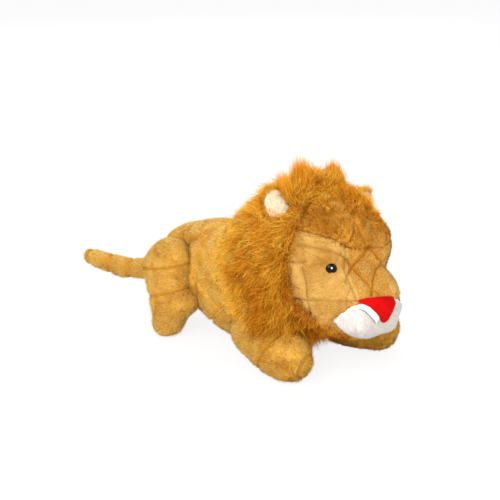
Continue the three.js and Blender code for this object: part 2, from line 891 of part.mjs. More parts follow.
// The skin ends in a ring at the neck, where the head is sewn on.
const neckMouth = swung(
  shifted(solidOf(new THREE.CylinderGeometry(neckRadius * 0.6, neckRadius * 0.6, 80, rootSegments)
    .rotateX(Math.PI / 2)), neckX, 0, neckZ + 40),
  neck,
  sideways,
  55,
);
const torsoFilling = torsoSolid(-skinThickness - seamGap).subtract(torsoCut).subtract(pouchSpace);
const aboveSqueaker = box(
  new THREE.Vector3(-400, -300, squeakerZ + seamGap / 2),
  new THREE.Vector3(400, 300, 400),
);
const belowSqueaker = box(
  new THREE.Vector3(-400, -300, -100),
  new THREE.Vector3(400, 300, squeakerZ - seamGap / 2),
);
add(torsoGroup, "torso_skin", torsoShell.subtract(torsoCut).subtract(neckMouth), goldPlush);
add(torsoGroup, "torso_stuffing_upper", torsoFilling.intersect(aboveSqueaker), fibreFill);
add(torsoGroup, "torso_stuffing_lower", torsoFilling.intersect(belowSqueaker), fibreFill);
add(torsoGroup, "squeaker_pouch", pouch, pouchCloth);
add(torsoGroup, "squeaker_bulb", bulb, squeakerPlastic);
add(torsoGroup, "squeaker_reed", reed(), squeakerPlastic);
add(torsoGroup, "mane_cape", mane.intersect(farBack), maneFur);

const headGroup = new THREE.Group();
headGroup.applyMatrix4(headMatrix);
lion.add(headGroup);

let headCut = neckSpace;
for (const eye of eyes) {
  headCut = headCut.add(stood(eyeBead(seamGap).add(eyeWasher(0, seamGap)), eye.seat, eye.outward));
}
for (const ear of ears) {
  headCut = headCut.add(earSpace(ear));
}
const headSkin = headShell.subtract(headCut);
const cheeks = headSkin.subtract(muzzleRegion(seamGap)).subtract(foreheadRegion(seamGap));
add(headGroup, "head_skin", cheeks, palePlush);
const forehead = headSkin.intersect(foreheadRegion()).subtract(muzzleRegion(seamGap));
add(headGroup, "forehead_panel", forehead, darkPlush);
add(headGroup, "muzzle_panel", headSkin.intersect(muzzleRegion()), whitePlush);
const headFilling = headSolid(-skinThickness - seamGap).subtract(headCut);
add(headGroup, "head_stuffing", headFilling, fibreFill);
add(headGroup, "nose_patch", nosePatch, redFelt);
add(headGroup, "nose_label", noseLabel, ribbon);
add(headGroup, "mane_ruff", mane.intersect(farFront), maneFur, headInverse);
for (const eye of eyes) {
  add(headGroup, `eye_${eye.word}`, stood(eyeBead(), eye.seat, eye.outward), eyePlastic);
  const washer = stood(eyeWasher(shankRadius + seamGap), eye.seat, eye.outward);
  add(headGroup, `eye_washer_${eye.word}`, washer, washerPlastic);
}
for (const ear of ears) {
  const earGroup = new THREE.Group();
  earGroup.applyMatrix4(ear.matrix);
  headGroup.add(earGroup);
  add(earGroup, `ear_back_${ear.word}`, earWhole().subtract(earLining(seamGap)), goldPlush);
  add(earGroup, `ear_lining_${ear.word}`, earLining(), creamPlush);
  earGroup.userData.joint = `ear_${ear.word}`;
}

for (const leg of legs) {
  const group = pivotGroup(lion, leg.pivot);
  const shell = legSolid(leg).subtract(legSolid(leg, -skinThickness)).subtract(legMouth(leg));
  add(group, `${leg.name}_${leg.word}_skin`, shell, goldPlush, away(leg.pivot));
  const filling = leg.root(-skinThickness - seamGap).add(swell(leg.form, -skinThickness - seamGap));
  add(group, `${leg.name}_${leg.word}_stuffing`, filling, fibreFill, away(leg.pivot));
  group.userData.joint = `${leg.name}_${leg.word}`;
}

const tailGroup = pivotGroup(lion, tailPivot);
const tailMouth = shifted(
  solidOf(new THREE.CylinderGeometry(tailRadius * 0.6, tailRadius * 0.6, tailBallRadius * 2, tailSides)
    .rotateZ(Math.PI / 2)),
  tailRootX + tailBallRadius,
  0,
  tailRootZ,
);
const tailShell = tailSolid().subtract(tailSolid(-skinThickness)).subtract(tailMouth);
add(tailGroup, "tail_skin", tailShell, goldPlush, away(tailPivot));
add(tailGroup, "tail_stuffing", tailSolid(-skinThickness - seamGap), fibreFill, away(tailPivot));
tailGroup.userData.joint = "tail";

// The origin is under the middle of the whole toy
lion.updateMatrixWorld(true);
const bounds = new THREE.Box3().setFromObject(lion, true);
const middle = bounds.getCenter(new THREE.Vector3());
lion.position.set(-middle.x, -middle.y, -bounds.min.z);

export default lion;
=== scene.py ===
# %% [markdown]
# # A quilted plush lion
# The toy is sewn from short golden plush, filled with fibre and quilted, and lies on its paws.
# A shaggy mane of long fur goes round its face and over its neck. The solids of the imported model
# hold each piece's size and place. Here each one gets its cloth, its seams and its fur.

import json
import math

import bpy
import numpy as np
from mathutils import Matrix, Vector
from mathutils.bvhtree import BVHTree
from mathutils.kdtree import KDTree


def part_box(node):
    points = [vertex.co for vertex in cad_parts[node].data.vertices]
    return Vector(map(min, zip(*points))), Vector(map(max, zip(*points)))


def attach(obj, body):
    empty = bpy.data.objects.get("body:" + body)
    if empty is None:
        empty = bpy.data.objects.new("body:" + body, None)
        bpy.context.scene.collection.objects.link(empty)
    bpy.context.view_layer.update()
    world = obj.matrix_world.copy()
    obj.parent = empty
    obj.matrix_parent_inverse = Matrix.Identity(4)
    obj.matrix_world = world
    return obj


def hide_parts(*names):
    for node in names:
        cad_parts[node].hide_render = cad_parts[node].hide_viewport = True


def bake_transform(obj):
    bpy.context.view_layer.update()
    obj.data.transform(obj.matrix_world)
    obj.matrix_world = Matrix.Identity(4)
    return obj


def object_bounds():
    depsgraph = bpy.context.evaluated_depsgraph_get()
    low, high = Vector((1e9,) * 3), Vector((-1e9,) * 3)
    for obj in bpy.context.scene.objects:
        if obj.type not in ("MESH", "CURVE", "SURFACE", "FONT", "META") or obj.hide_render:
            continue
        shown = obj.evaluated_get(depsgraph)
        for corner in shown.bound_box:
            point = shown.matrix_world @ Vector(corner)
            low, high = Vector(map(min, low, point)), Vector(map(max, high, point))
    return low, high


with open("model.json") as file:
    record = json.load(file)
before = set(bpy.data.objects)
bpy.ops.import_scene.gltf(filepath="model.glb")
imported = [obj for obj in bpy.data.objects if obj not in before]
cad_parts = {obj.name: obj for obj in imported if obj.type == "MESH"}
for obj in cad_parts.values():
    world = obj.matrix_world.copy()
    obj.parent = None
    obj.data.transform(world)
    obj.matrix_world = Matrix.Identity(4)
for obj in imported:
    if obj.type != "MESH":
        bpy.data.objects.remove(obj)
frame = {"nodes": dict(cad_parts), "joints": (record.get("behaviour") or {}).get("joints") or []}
cad_low, cad_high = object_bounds()
scene = bpy.context.scene
MM = 0.001
print("the solids measure", [round(x / MM) for x in cad_high - cad_low], "mm")

# %% [markdown]
# ## Places on the toy
# Everything is placed from the neck's joint. `at` takes millimetres from the point on the floor
# that the toy was drawn from, and `on_head` takes them in the head's own tilted directions, which
# the joint's axis gives.

# %% Directions and places
joints = {joint["name"]: joint for joint in frame["joints"]}
neck = Vector(joints["neck_nod"]["pos_m"])
drawn_from = neck - Vector((16, 0, 94)) * MM
head_left = Vector(joints["neck_nod"]["axis"]).normalized()
head_ahead = head_left.cross(Vector((0, 0, 1))).normalized()
head_up = head_ahead.cross(head_left)
HEAD_AXES = np.array([head_ahead, head_left, head_up])


def at(x, y, z):
    return drawn_from + Vector((x, y, z)) * MM


def head_direction(x, y, z):
    return head_ahead * x + head_left * y + head_up * z


def on_head(x, y, z):
    return neck + head_direction(x, y, z) * MM


def head_places(points):
    """Points in the head's own directions, in millimetres from the neck."""
    return (points - np.array(neck)) @ HEAD_AXES.T / MM


def toy_places(points):
    """Points in millimetres from where the toy was drawn from."""
    return (points - np.array(drawn_from)) / MM


print("the head looks towards", [round(x, 3) for x in head_ahead])

# %% [markdown]
# ## The camera
# The photograph was taken from the front right, a little above the toy, with a long lens. It is
# placed first, so that every piece can be looked at from there.

# %% Camera
CAMERA_PLACE = at(680.1, -733.9, 469.3)
CAMERA_AIM = at(-50.8, -2.9, 93.0)
lens = bpy.data.cameras.new("camera")
lens.sensor_width = 36
lens.lens = 79.2


def new_piece(name, data):
    piece = bpy.data.objects.new(name, data)
    scene.collection.objects.link(piece)
    return piece


def point_at(piece, place, aim):
    piece.location = place
    piece.rotation_mode = "QUATERNION"
    piece.rotation_quaternion = (aim - place).to_track_quat("-Z", "Y")


scene.camera = new_piece("camera", lens)
point_at(scene.camera, CAMERA_PLACE, CAMERA_AIM)
print("the camera stands", round((CAMERA_PLACE - CAMERA_AIM).length, 2), "m away")

# %% [markdown]
# ## Small tools
# An operator works on whatever is selected, so `use` selects just the piece that is meant. A
# mesh's points are read and written all at once, because a loop over them is slow.

# %% Selecting, applying and reading
def use(*pieces):
    bpy.ops.object.select_all(action="DESELECT")
    for piece in pieces:
        piece.select_set(True)
    bpy.context.view_layer.objects.active = pieces[0]


def modify(piece, kind, **settings):
    modifier = piece.modifiers.new(kind.lower(), kind)
    for setting, value in settings.items():
        setattr(modifier, setting, value)


def edit_all(piece, operator, **settings):
    """Runs one mesh operator on the whole piece."""
    use(piece)
    bpy.ops.object.mode_set(mode="EDIT")
    bpy.ops.mesh.select_all(action="SELECT")
    operator(**settings)
    bpy.ops.object.mode_set(mode="OBJECT")


def apply_all(piece):
    use(piece)
    for modifier in list(piece.modifiers):
        bpy.ops.object.modifier_apply(modifier=modifier.name)


def triples(values, field, kind=np.float32):
    flat = np.empty(len(values) * 3, kind)
    values.foreach_get(field, flat)
    return flat.reshape(-1, 3)


def points_of(piece):
    return triples(piece.data.vertices, "co").astype(float)


def normals_of(piece):
    return triples(piece.data.vertex_normals, "vector").astype(float)


def triangles_of(piece):
    piece.data.calc_loop_triangles()
    return triples(piece.data.loop_triangles, "vertices", np.int32)


def set_points(piece, points):
    piece.data.vertices.foreach_set("co", points.astype(np.float32).ravel())
    piece.data.update()


def unit(vectors):
    return vectors / np.maximum(np.linalg.norm(vectors, axis=-1, keepdims=True), 1e-12)


def ease(low, high, values):
    """0 below low, 1 above high and smooth between them."""
    share = np.clip((values - low) / (high - low), 0, 1)
    return share * share * (3 - 2 * share)


def bell(values, width):
    """1 where a value is 0, and falling off smoothly over the width."""
    return np.exp(-(values / width) ** 2)


def distance_to(points, place):
    return np.linalg.norm(points - np.array(place), axis=1)


def patches(points, size, seed):
    """Soft random patches from 0 to 1, about as wide as size."""
    draw = np.random.default_rng(seed)
    waves = unit(draw.normal(size=(7, 3))) * draw.uniform(0.6, 1.5, (7, 1)) / size
    total = np.sin(points @ waves.T * math.pi + draw.uniform(0, 2 * math.pi, 7)).sum(axis=1)
    return np.clip(0.5 + total / 7, 0, 1)


# %% [markdown]
# ## From solids to stuffed forms
# A sewn and filled limb has no facets. The skin and the filling of each limb are copied, joined
# and remeshed into one even grid, which is then smoothed. The even grid is what a cloth
# simulation needs.

# %% Filled forms
def keep_largest(piece):
    edit_all(piece, bpy.ops.mesh.separate, type="LOOSE")
    parts = sorted(bpy.context.selected_objects, key=lambda part: len(part.data.vertices))
    name = piece.name
    for part in parts[:-1]:
        bpy.data.objects.remove(part)
    parts[-1].name = name
    return parts[-1]


def filled_form(name, nodes, voxel, smoothing):
    use(*[new_piece(name, frame["nodes"][node].data.copy()) for node in nodes])
    if len(nodes) > 1:
        bpy.ops.object.join()
    form = bpy.context.view_layer.objects.active
    form.data.materials.clear()
    edit_all(form, bpy.ops.mesh.remove_doubles, threshold=0.01 * MM)
    modify(form, "REMESH", mode="VOXEL", voxel_size=voxel, use_smooth_shade=True)
    modify(form, "SMOOTH", iterations=smoothing)
    apply_all(form)
    form = keep_largest(form)
    form.name = name
    print(name, "has", len(form.data.vertices), "points")
    return form


# %% [markdown]
# ## Quilting
# The plush is two layers sewn together in diamonds, so that teeth can't tear it easily. Most rows
# of stitches are where a plane cuts the skin: a set of them is one point, the direction across
# the rows and the distance between them. A row counts as a metre away where it doesn't reach.

# %% Rows of stitches
NOT_NEAR = 1.0


class Rows:
    def __init__(self, through, across, apart=None, reach=None):
        self.through = np.array(through)
        self.across = unit(np.array(across, float))
        self.apart = apart
        self.reach = reach

    def offset(self, points):
        return (points - self.through) @ self.across

    def distance(self, points, normals):
        away = self.offset(points)
        if self.apart:
            away = (away + self.apart / 2) % self.apart - self.apart / 2
        slant = np.sqrt(np.clip(1 - (normals @ self.across) ** 2, 0, 1))
        distance = np.abs(away) / np.maximum(slant, 0.3)
        distance[slant < 0.4] = NOT_NEAR
        if self.reach is not None:
            distance[~self.reach(points)] = NOT_NEAR
        return distance


class CurvedRow:
    """One curved row of stitches, where a measure in millimetres over the skin is zero."""

    apart = None

    def __init__(self, measure, reach):
        self.measure = measure
        self.reach = reach

    def offset(self, points):
        return self.measure(points) * MM

    def distance(self, points, normals):
        distance = np.abs(self.offset(points))
        distance[~self.reach(points)] = NOT_NEAR
        return distance


def to_nearest_row(points, normals, rows):
    nearest = np.full(len(points), NOT_NEAR)
    for each in rows:
        nearest = np.minimum(nearest, each.distance(points, normals))
    return nearest


# %% [markdown]
# ## Filling the skin
# The filling presses the skin out between the rows of stitches. Blender's cloth does that with
# its pressure: the points on the rows are pinned, gravity is off, and twenty steps are enough.
# Then the points get one subdivision and the stitches pull in a last narrow channel.

# %% Stuffing
CLOTH_STEPS = 20
CLOTH_STIFFNESS = 12
LEAST_PIN = 0.02


def stuff(piece, rows, held=None, cap=1.6 * MM, plump=0.9 * MM):
    """Swells a form by its plump share and by what the cloth moves, which the cap limits."""
    rest = points_of(piece)
    fuller = normals_of(piece) * plump
    sewn = 1 - ease(1.2 * MM, 3.2 * MM, to_nearest_row(rest, normals_of(piece), rows))
    if held is not None:
        sewn = np.maximum(sewn, held(rest))
    pins = piece.vertex_groups.new(name="sewn")
    for index in np.flatnonzero(sewn > LEAST_PIN):
        pins.add([int(index)], float(sewn[index]), "REPLACE")
    cloth = piece.modifiers.new("cloth", "CLOTH").settings
    cloth.quality = 4
    cloth.mass = 0.2
    cloth.tension_stiffness = CLOTH_STIFFNESS
    cloth.compression_stiffness = CLOTH_STIFFNESS
    cloth.bending_stiffness = 0.4
    cloth.use_pressure = True
    cloth.uniform_pressure_force = 4.0
    cloth.vertex_group_mass = pins.name
    cloth.effector_weights.gravity = 0
    for step in range(CLOTH_STEPS):
        scene.frame_set(step + 1)
    apply_all(piece)
    scene.frame_set(1)
    moved = points_of(piece) - rest
    far = np.linalg.norm(moved, axis=1, keepdims=True)
    rest += moved * np.minimum(1, cap / np.maximum(far, 1e-9))
    piece.vertex_groups.clear()
    print(piece.name, "swelled by up to", round(float(min(far.max(), cap)) / MM, 1), "mm")
    if held is not None:
        fuller *= 1 - held(rest)[:, None]
    set_points(piece, rest + fuller)
    modify(piece, "SUBSURF", levels=1)
    apply_all(piece)


def press(piece, far):
    """Moves a form's points along its normals, by one distance or by one for each."""
    set_points(piece, points_of(piece) + normals_of(piece) * np.reshape(far, (-1, 1)))


def folds(points, size, seed):
    """Where patches of the cloth meet in a soft crease, 1 on the crease."""
    return bell(patches(points, size, seed) - 0.5, 0.06)


def crumple(piece, depth, size, seed):
    """Hand-filled cloth is never even: it swells in patches and creases between them."""
    points = points_of(piece)
    swell = 2 * (patches(points, size, seed) - 0.5)
    swell += 0.8 * (patches(points, size * 0.45, seed + 5) - 0.5)
    press(piece, depth * (swell - 0.6 * folds(points, size, seed)))


def draw_in(piece, rows, depth, width):
    press(piece, -depth * bell(to_nearest_row(points_of(piece), normals_of(piece), rows), width))


# %% [markdown]
# ## Fur
# Fur is made of real strands, because its soft outline is most of what makes plush look like
# plush. A strand is a closed three-sided spike that follows a few points. All strands of a piece
# are written into one mesh at once. Its UV map holds the strand's own tone across and the way
# from root to tip upwards, which the materials read.

# %% Strands
FLOOR_GAP = 0.3 * MM


def scatter(surface, count, seed):
    """Places spread evenly at random over a surface, with the surface's direction there."""
    corners = triangles_of(surface)
    points, normals = points_of(surface), normals_of(surface)
    a, b, c = points[corners[:, 0]], points[corners[:, 1]], points[corners[:, 2]]
    area = np.linalg.norm(np.cross(b - a, c - a), axis=1)
    draw = np.random.default_rng(seed)
    chosen = corners[np.searchsorted(np.cumsum(area / area.sum()), draw.uniform(0, 0.999999, count))]
    u, v = draw.uniform(size=(2, count))
    fold = u + v > 1
    u[fold], v[fold] = 1 - u[fold], 1 - v[fold]
    weights = np.stack([1 - u - v, u, v], axis=1)[:, :, None]
    return (points[chosen] * weights).sum(axis=1), unit((normals[chosen] * weights).sum(axis=1))


def over_skin(flow, normals):
    """The directions, turned so that they run along the skin."""
    return unit(flow - normals * (flow * normals).sum(axis=1, keepdims=True))


def strands(name, paths, widths, tones, seed):
    """One mesh of closed strands. paths holds each strand's points from root to tip."""
    count, length = paths.shape[:2]
    paths[:, :, 2] = np.maximum(paths[:, :, 2], FLOOR_GAP)
    draw = np.random.default_rng(seed)
    run = unit(paths[:, -1] - paths[:, 0])
    side = unit(np.cross(run, draw.normal(size=(count, 3))))
    over = np.cross(run, side)
    rings = length - 1
    per_strand = rings * 3 + 1
    corners = np.empty((count, per_strand, 3))
    for ring in range(rings):
        taper = widths * (1 - (ring / rings) ** 2) / 2
        for turn in range(3):
            angle = turn * 2 * math.pi / 3
            offset = side * math.cos(angle) + over * math.sin(angle)
            corners[:, ring * 3 + turn] = paths[:, ring] + offset * taper[:, None]
    corners[:, -1] = paths[:, -1]
    pattern = [(2, 1, 0)]
    for ring in range(rings - 1):
        low, high = ring * 3, ring * 3 + 3
        for turn in range(3):
            after = (turn + 1) % 3
            pattern.append((low + turn, low + after, high + turn))
            pattern.append((low + after, high + after, high + turn))
    last = (rings - 1) * 3
    for turn in range(3):
        pattern.append((last + turn, last + (turn + 1) % 3, per_strand - 1))
    pattern = np.array(pattern)
    faces = (pattern[None] + (np.arange(count) * per_strand)[:, None, None]).reshape(-1)
    mesh = bpy.data.meshes.new(name)
    mesh.vertices.add(count * per_strand)
    mesh.vertices.foreach_set("co", corners.astype(np.float32).ravel())
    mesh.loops.add(len(faces))
    mesh.loops.foreach_set("vertex_index", faces.astype(np.int32))
    mesh.polygons.add(len(faces) // 3)
    mesh.polygons.foreach_set("loop_start", np.arange(0, len(faces), 3, dtype=np.int32))
    mesh.polygons.foreach_set("use_smooth", np.ones(len(faces) // 3, bool))
    along = np.append(np.repeat(np.arange(rings) / rings, 3), 1.0)[pattern.ravel()]
    places = np.empty((count, len(along), 2), np.float32)
    places[:, :, 0] = np.clip(tones, 0.01, 0.99)[:, None]
    places[:, :, 1] = 0.02 + 0.96 * along[None]
    for layer in ("OFBake", "strand"):
        mesh.uv_layers.new(name=layer).data.foreach_set("uv", places.ravel())
    mesh.update()
    print(name, "has", count, "strands and", len(faces) // 3, "triangles")
    return new_piece(name, mesh)


# %% [markdown]
# ## Short pile
# The plush's pile is three or four millimetres long and lies over in its nap's direction. On a
# row of stitches it is pressed down, and where another piece covers the skin it isn't needed.
# Painted shade darkens it along the rows, and painted light makes it paler on the puffs between.

# %% Pile
SEARCH = 30 * MM
PILE_ROOT = 0.4 * MM
PRESSED_WIDTH = 2.5 * MM
# The width of the painted shade along a row of stitches.
ROW_SHADE_WIDTH = 1.8 * MM


def inside(points, trees):
    """Which points are inside any of the closed forms, or almost touch one."""
    covered = np.zeros(len(points), bool)
    for tree, margin in trees:
        for index, point in enumerate(points):
            if covered[index]:
                continue
            place, normal, _, far = tree.find_nearest(point, SEARCH)
            if place is not None:
                out = (Vector(point) - place).dot(normal)
                covered[index] = out < 0 or far < margin
    return covered


def tree_of(piece):
    mesh = piece.data
    return BVHTree.FromPolygons([v.co for v in mesh.vertices], [p.vertices for p in mesh.polygons])


def pile(name, skin, count, nap, seed, rows=(), length=3.6 * MM, width=0.45 * MM, rise=0.5,
         messy=0.3, under=(), keep=None, tone=None):
    places, normals = scatter(skin, count, seed)
    on_floor = (normals[:, 2] < -0.7) & (places[:, 2] < 4 * MM)
    use_it = ~on_floor
    if keep is not None:
        use_it &= keep(places, normals)
    places, normals = places[use_it], normals[use_it]
    clear = ~inside(places, under)
    places, normals = places[clear], normals[clear]
    draw = np.random.default_rng(seed + 1)
    count = len(places)
    flow = over_skin(nap(places, normals) + draw.normal(size=(count, 3)) * messy, normals)
    lift = rise * draw.uniform(0.6, 1.5, (count, 1))
    away = unit(flow + normals * lift)
    from_row = to_nearest_row(places, normals, rows)
    sewn = 1 - 0.88 * bell(from_row, PRESSED_WIDTH)
    far = (length * draw.uniform(0.7, 1.2, count) * sewn)[:, None]
    paths = np.stack([places - normals * PILE_ROOT, places + away * far], axis=1)
    tones = 0.5 + (patches(places, 0.03, seed) - 0.5) * 0.4
    tones += (patches(places, 0.006, seed + 7) - 0.5) * 0.22
    tones += draw.normal(size=count) * 0.22
    # Painted shade darkens the pile in the grooves along the rows; painted light pales it on the puffs.
    tones += 0.12 * ease(0, 9 * MM, from_row) - 0.06 - 0.95 * bell(from_row, ROW_SHADE_WIDTH)
    if tone is not None:
        tones += tone(places, normals)
    return strands(name, paths, np.full(count, width), tones, seed + 2)


# %% [markdown]
# ## Stitches
# The quilting thread shows as short pale stitches along the body's rows. On the face and the legs
# it shows as thin dark lines, whose dark colour is painted shade where the pile parts over it. Each
# row is cut with the skin's triangles, and a run of the cut in every five millimetres becomes thread.

# %% Stitches along rows
PACE = 5.0 * MM
SLANT = np.array((0.8, 0.5, -0.6))


def cut_line(points, corners, off):
    """The two ends of the cut through every triangle that a row passes. off is 0 on the row."""
    away = off[corners]
    crossed = (away.min(axis=1) < 0) & (away.max(axis=1) > 0)
    corners, away = corners[crossed], away[crossed]
    order = [(0, 1), (1, 2), (2, 0)]
    passes = np.stack([(away[:, a] < 0) != (away[:, b] < 0) for a, b in order], axis=1)
    spots = []
    for a, b in order:
        share = away[:, a] / np.where(away[:, a] == away[:, b], 1, away[:, a] - away[:, b])
        share = share[:, None]
        spots.append(points[corners[:, a]] * (1 - share) + points[corners[:, b]] * share)
    spots = np.stack(spots, axis=1)
    picked = np.argsort(~passes, axis=1, kind="stable")[:, :2]
    rows = np.arange(len(corners))
    return spots[rows, picked[:, 0]], spots[rows, picked[:, 1]], crossed


def stitches(name, skin, rows, seed, keep, width=0.55 * MM, rise=0.9 * MM, run=3.4 * MM):
    """Threads along the rows. The slant crosses them all, so it tells how far along one is."""
    corners = triangles_of(skin)
    points, normals = points_of(skin), normals_of(skin)
    pieces = []
    for each in rows:
        off = each.offset(points)
        apart = each.apart or 1.0
        for level in range(round(off.min() / apart), round(off.max() / apart) + 1):
            start, end, crossed = cut_line(points, corners, off - level * apart)
            if len(start) == 0:
                continue
            facing = unit(normals[corners[crossed]].mean(axis=1))
            middle = (start + end) / 2
            shown = (middle @ SLANT % PACE < run) & keep(middle, facing)
            shown &= each.distance(middle, facing) < 1 * MM
            stretch = (end - start)[shown] * 0.15
            lift = facing[shown] * rise
            ends = [start[shown] - stretch + lift, end[shown] + stretch + lift]
            pieces.append(np.stack(ends, axis=1))
    paths = np.concatenate(pieces)
    tones = np.full(len(paths), 0.7) + np.random.default_rng(seed).normal(size=len(paths)) * 0.1
    return strands(name, paths, np.full(len(paths), width), tones, seed)


# %% [markdown]
# ## Colours and finishes
# An effect that several materials use is a node group. "strand shade" turns a strand's tone and
# the way along it into a colour: roots are deeper, because less light reaches them. "plush ground"
# colours the cloth under the pile in soft blotches with a fine fibrous grain.

# %% Node helpers
def add(tree, kind, inputs, **settings):
    """A new node. Each input gets a socket to follow or a plain value."""
    node = tree.nodes.new("ShaderNode" + kind)
    for setting, value in settings.items():
        setattr(node, setting, value)
    for socket, value in inputs.items():
        if isinstance(value, bpy.types.NodeSocket):
            tree.links.new(value, node.inputs[socket])
        else:
            node.inputs[socket].default_value = value
    return node


def node_group(name, inputs, *outputs):
    """A node group. Its inputs are numbers or colours, and of its outputs only Color is a colour."""
    group = bpy.data.node_groups.new(name, "ShaderNodeTree")
    for socket, value in inputs.items():
        kind = "NodeSocketFloat" if isinstance(value, float) else "NodeSocketColor"
        made = group.interface.new_socket(socket, in_out="INPUT", socket_type=kind)
        made.default_value = value
    for socket in outputs:
        kind = "NodeSocketColor" if socket == "Color" else "NodeSocketFloat"
        group.interface.new_socket(socket, in_out="OUTPUT", socket_type=kind)
    return group, group.nodes.new("NodeGroupInput").outputs, group.nodes.new("NodeGroupOutput").inputs


def mixed(tree, factor, first, second):
    """A mix of two colours. A mix node's sockets for colours are 6 and 7, and its colour is 2."""
    return add(tree, "Mix", {0: factor, 6: first, 7: second}, data_type="RGBA").outputs[2]


def scaled(tree, colour, factor):
    return add(tree, "VectorMath", {0: colour, "Scale": factor}, operation="SCALE").outputs[0]


def ranged(tree, value, low, high, to_low=0.0, to_high=1.0):
    sockets = ("Value", "From Min", "From Max", "To Min", "To Max")
    inputs = dict(zip(sockets, (value, low, high, to_low, to_high)))
    return add(tree, "MapRange", inputs).outputs["Result"]


def srgb(red, green, blue):
    """A colour as it looks on a screen, from 0 to 255, as the shader wants it."""
    shares = [level / 255 for level in (red, green, blue)]
    linear = [((x + 0.055) / 1.055) ** 2.4 if x > 0.04 else x / 12.92 for x in shares]
    return (*linear, 1)


# %% Strand shade
shade, given, result = node_group(
    "strand shade",
    {"Deep": srgb(120, 70, 15), "Middle": srgb(190, 120, 40), "Pale": srgb(235, 190, 110), "Root": 0.62},
    "Color",
)
strand_map = add(shade, "UVMap", {}, uv_map="strand")
split = add(shade, "SeparateXYZ", {0: strand_map.outputs["UV"]}).outputs
tint = mixed(shade, ranged(shade, split["X"], 0.0, 0.5), given["Deep"], given["Middle"])
tint = mixed(shade, ranged(shade, split["X"], 0.5, 1.0), tint, given["Pale"])
climb = ranged(shade, split["Y"], 0.0, 0.85)
dim = add(shade, "Mix", {"Factor": climb, "A": given["Root"], "B": 1.0})
shade.links.new(scaled(shade, tint, dim.outputs["Result"]), result["Color"])

# %% Plush ground
ground, given, result = node_group(
    "plush ground",
    {"Deep": srgb(150, 95, 30), "Pale": srgb(200, 140, 60), "Blotch": 45.0, "Grain": 1500.0},
    "Color", "Height",
)
place = add(ground, "TexCoord", {}).outputs["Object"]
blotch, grain = (add(ground, "TexNoise", {"Vector": place, "Scale": given[word]}).outputs["Fac"]
                 for word in ("Blotch", "Grain"))
tint = mixed(ground, ranged(ground, blotch, 0.3, 0.7), given["Deep"], given["Pale"])
ground.links.new(scaled(ground, tint, ranged(ground, grain, 0.3, 0.7, 0.75, 1.1)), result["Color"])
ground.links.new(grain, result["Height"])


# %% Materials
DULL = 0.08


def material(name, roughness, group, values, relief=None, specular=0.5):
    """A finish coloured by a node group. A relief is the strength and depth of its height."""
    made = bpy.data.materials.new(name)
    made.use_nodes = True
    tree = made.node_tree
    shader = tree.nodes["Principled BSDF"].inputs
    shader["Roughness"].default_value = roughness
    shader["Specular IOR Level"].default_value = specular
    node = add(tree, "Group", values, node_tree=group)
    tree.links.new(node.outputs["Color"], shader["Base Color"])
    if relief:
        strength, depth = relief
        bump = add(tree, "Bump", {"Height": node.outputs["Height"], "Strength": strength, "Distance": depth})
        tree.links.new(bump.outputs["Normal"], shader["Normal"])
    return made


def fur_material(name, deep, middle, pale, root=0.62):
    values = {"Deep": srgb(*deep), "Middle": srgb(*middle), "Pale": srgb(*pale), "Root": root}
    return material(name, 0.85, shade, values, specular=DULL)


def ground_material(name, deep, pale):
    return material(name, 0.95, ground, {"Deep": srgb(*deep), "Pale": srgb(*pale)}, (0.5, 0.4 * MM), DULL)


gold_pile = fur_material("gold pile", (160, 102, 18), (222, 174, 78), (246, 214, 132))
face_pile = fur_material("face pile", (116, 62, 4), (196, 136, 44), (232, 190, 108), 0.7)
white_pile = fur_material("white pile", (206, 198, 190), (230, 224, 217), (238, 233, 228), 0.88)
cream_pile = fur_material("cream pile", (234, 206, 160), (254, 238, 210), (255, 248, 232), 0.88)
red_pile = fur_material("red pile", (184, 5, 6), (230, 12, 10), (244, 26, 20), 0.85)
mane_hair = fur_material("mane hair", (128, 56, 0), (232, 144, 16), (255, 204, 74), 0.56)
gold_ground = ground_material("gold ground", (160, 104, 24), (206, 154, 62))
pale_ground = ground_material("pale ground", (148, 102, 36), (192, 150, 80))
brown_ground = ground_material("brown ground", (152, 92, 18), (192, 130, 42))
white_ground = ground_material("white ground", (226, 218, 210), (244, 238, 232))
cream_ground = ground_material("cream ground", (230, 200, 156), (246, 224, 186))
red_ground = ground_material("red ground", (170, 6, 8), (214, 12, 10))
mane_ground = ground_material("mane ground", (116, 62, 8), (176, 108, 26))
thread_colour = fur_material("pale thread", (214, 160, 70), (236, 190, 100), (250, 214, 130), 0.95)
# The dark thread's colour is painted shade, where the pile parts over the quilting thread.
shaded_thread = fur_material("shaded thread", (108, 62, 8), (134, 82, 16), (160, 106, 34), 0.95)


def dress(piece, finish):
    piece.data.materials.clear()
    piece.data.materials.append(finish)


# %% [markdown]
# ## The torso
# The torso is one long bag, quilted in diamonds about 26 mm across. The two families of rows
# cross its sides at the slopes seen in the photograph.

# %% Torso
QUILT = 26 * MM


def sides_only(points):
    return np.abs(toy_places(points)[:, 1]) > 25


torso_rows = [
    Rows(at(-50, -52, 80), (math.sin(math.radians(28)), 0, math.cos(math.radians(28))), QUILT),
    Rows(at(9, -52, 53.6), (-math.sin(math.radians(40)), 0, math.cos(math.radians(40))), QUILT),
]
torso_creases = [
    Rows(at(-83, -50, 70), (1, 0, 0.04), None, sides_only),
    Rows(at(-113, -36, 92), (0.7, 0, 0.72), None, lambda points: toy_places(points)[:, 2] > 76),
]
torso = filled_form("torso_plush", ["torso_skin", "torso_stuffing_upper", "torso_stuffing_lower",
                                    "squeaker_pouch"], 3.8 * MM, 7)
stuff(torso, torso_rows + torso_creases)
crumple(torso, 1.2 * MM, 0.03, 3)
draw_in(torso, torso_rows, 1.9 * MM, 1.9 * MM)
draw_in(torso, torso_creases, 3.0 * MM, 3.6 * MM)
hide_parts("torso_skin", "torso_stuffing_upper", "torso_stuffing_lower")
dress(torso, gold_ground)
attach(torso, "torso")

# %% [markdown]
# ## The legs and the tail
# Each leg is a mitten with a round root. The front legs lie along the floor and the hind legs
# stand tucked in. The tail is a thin roll that stitches cross every few centimetres.

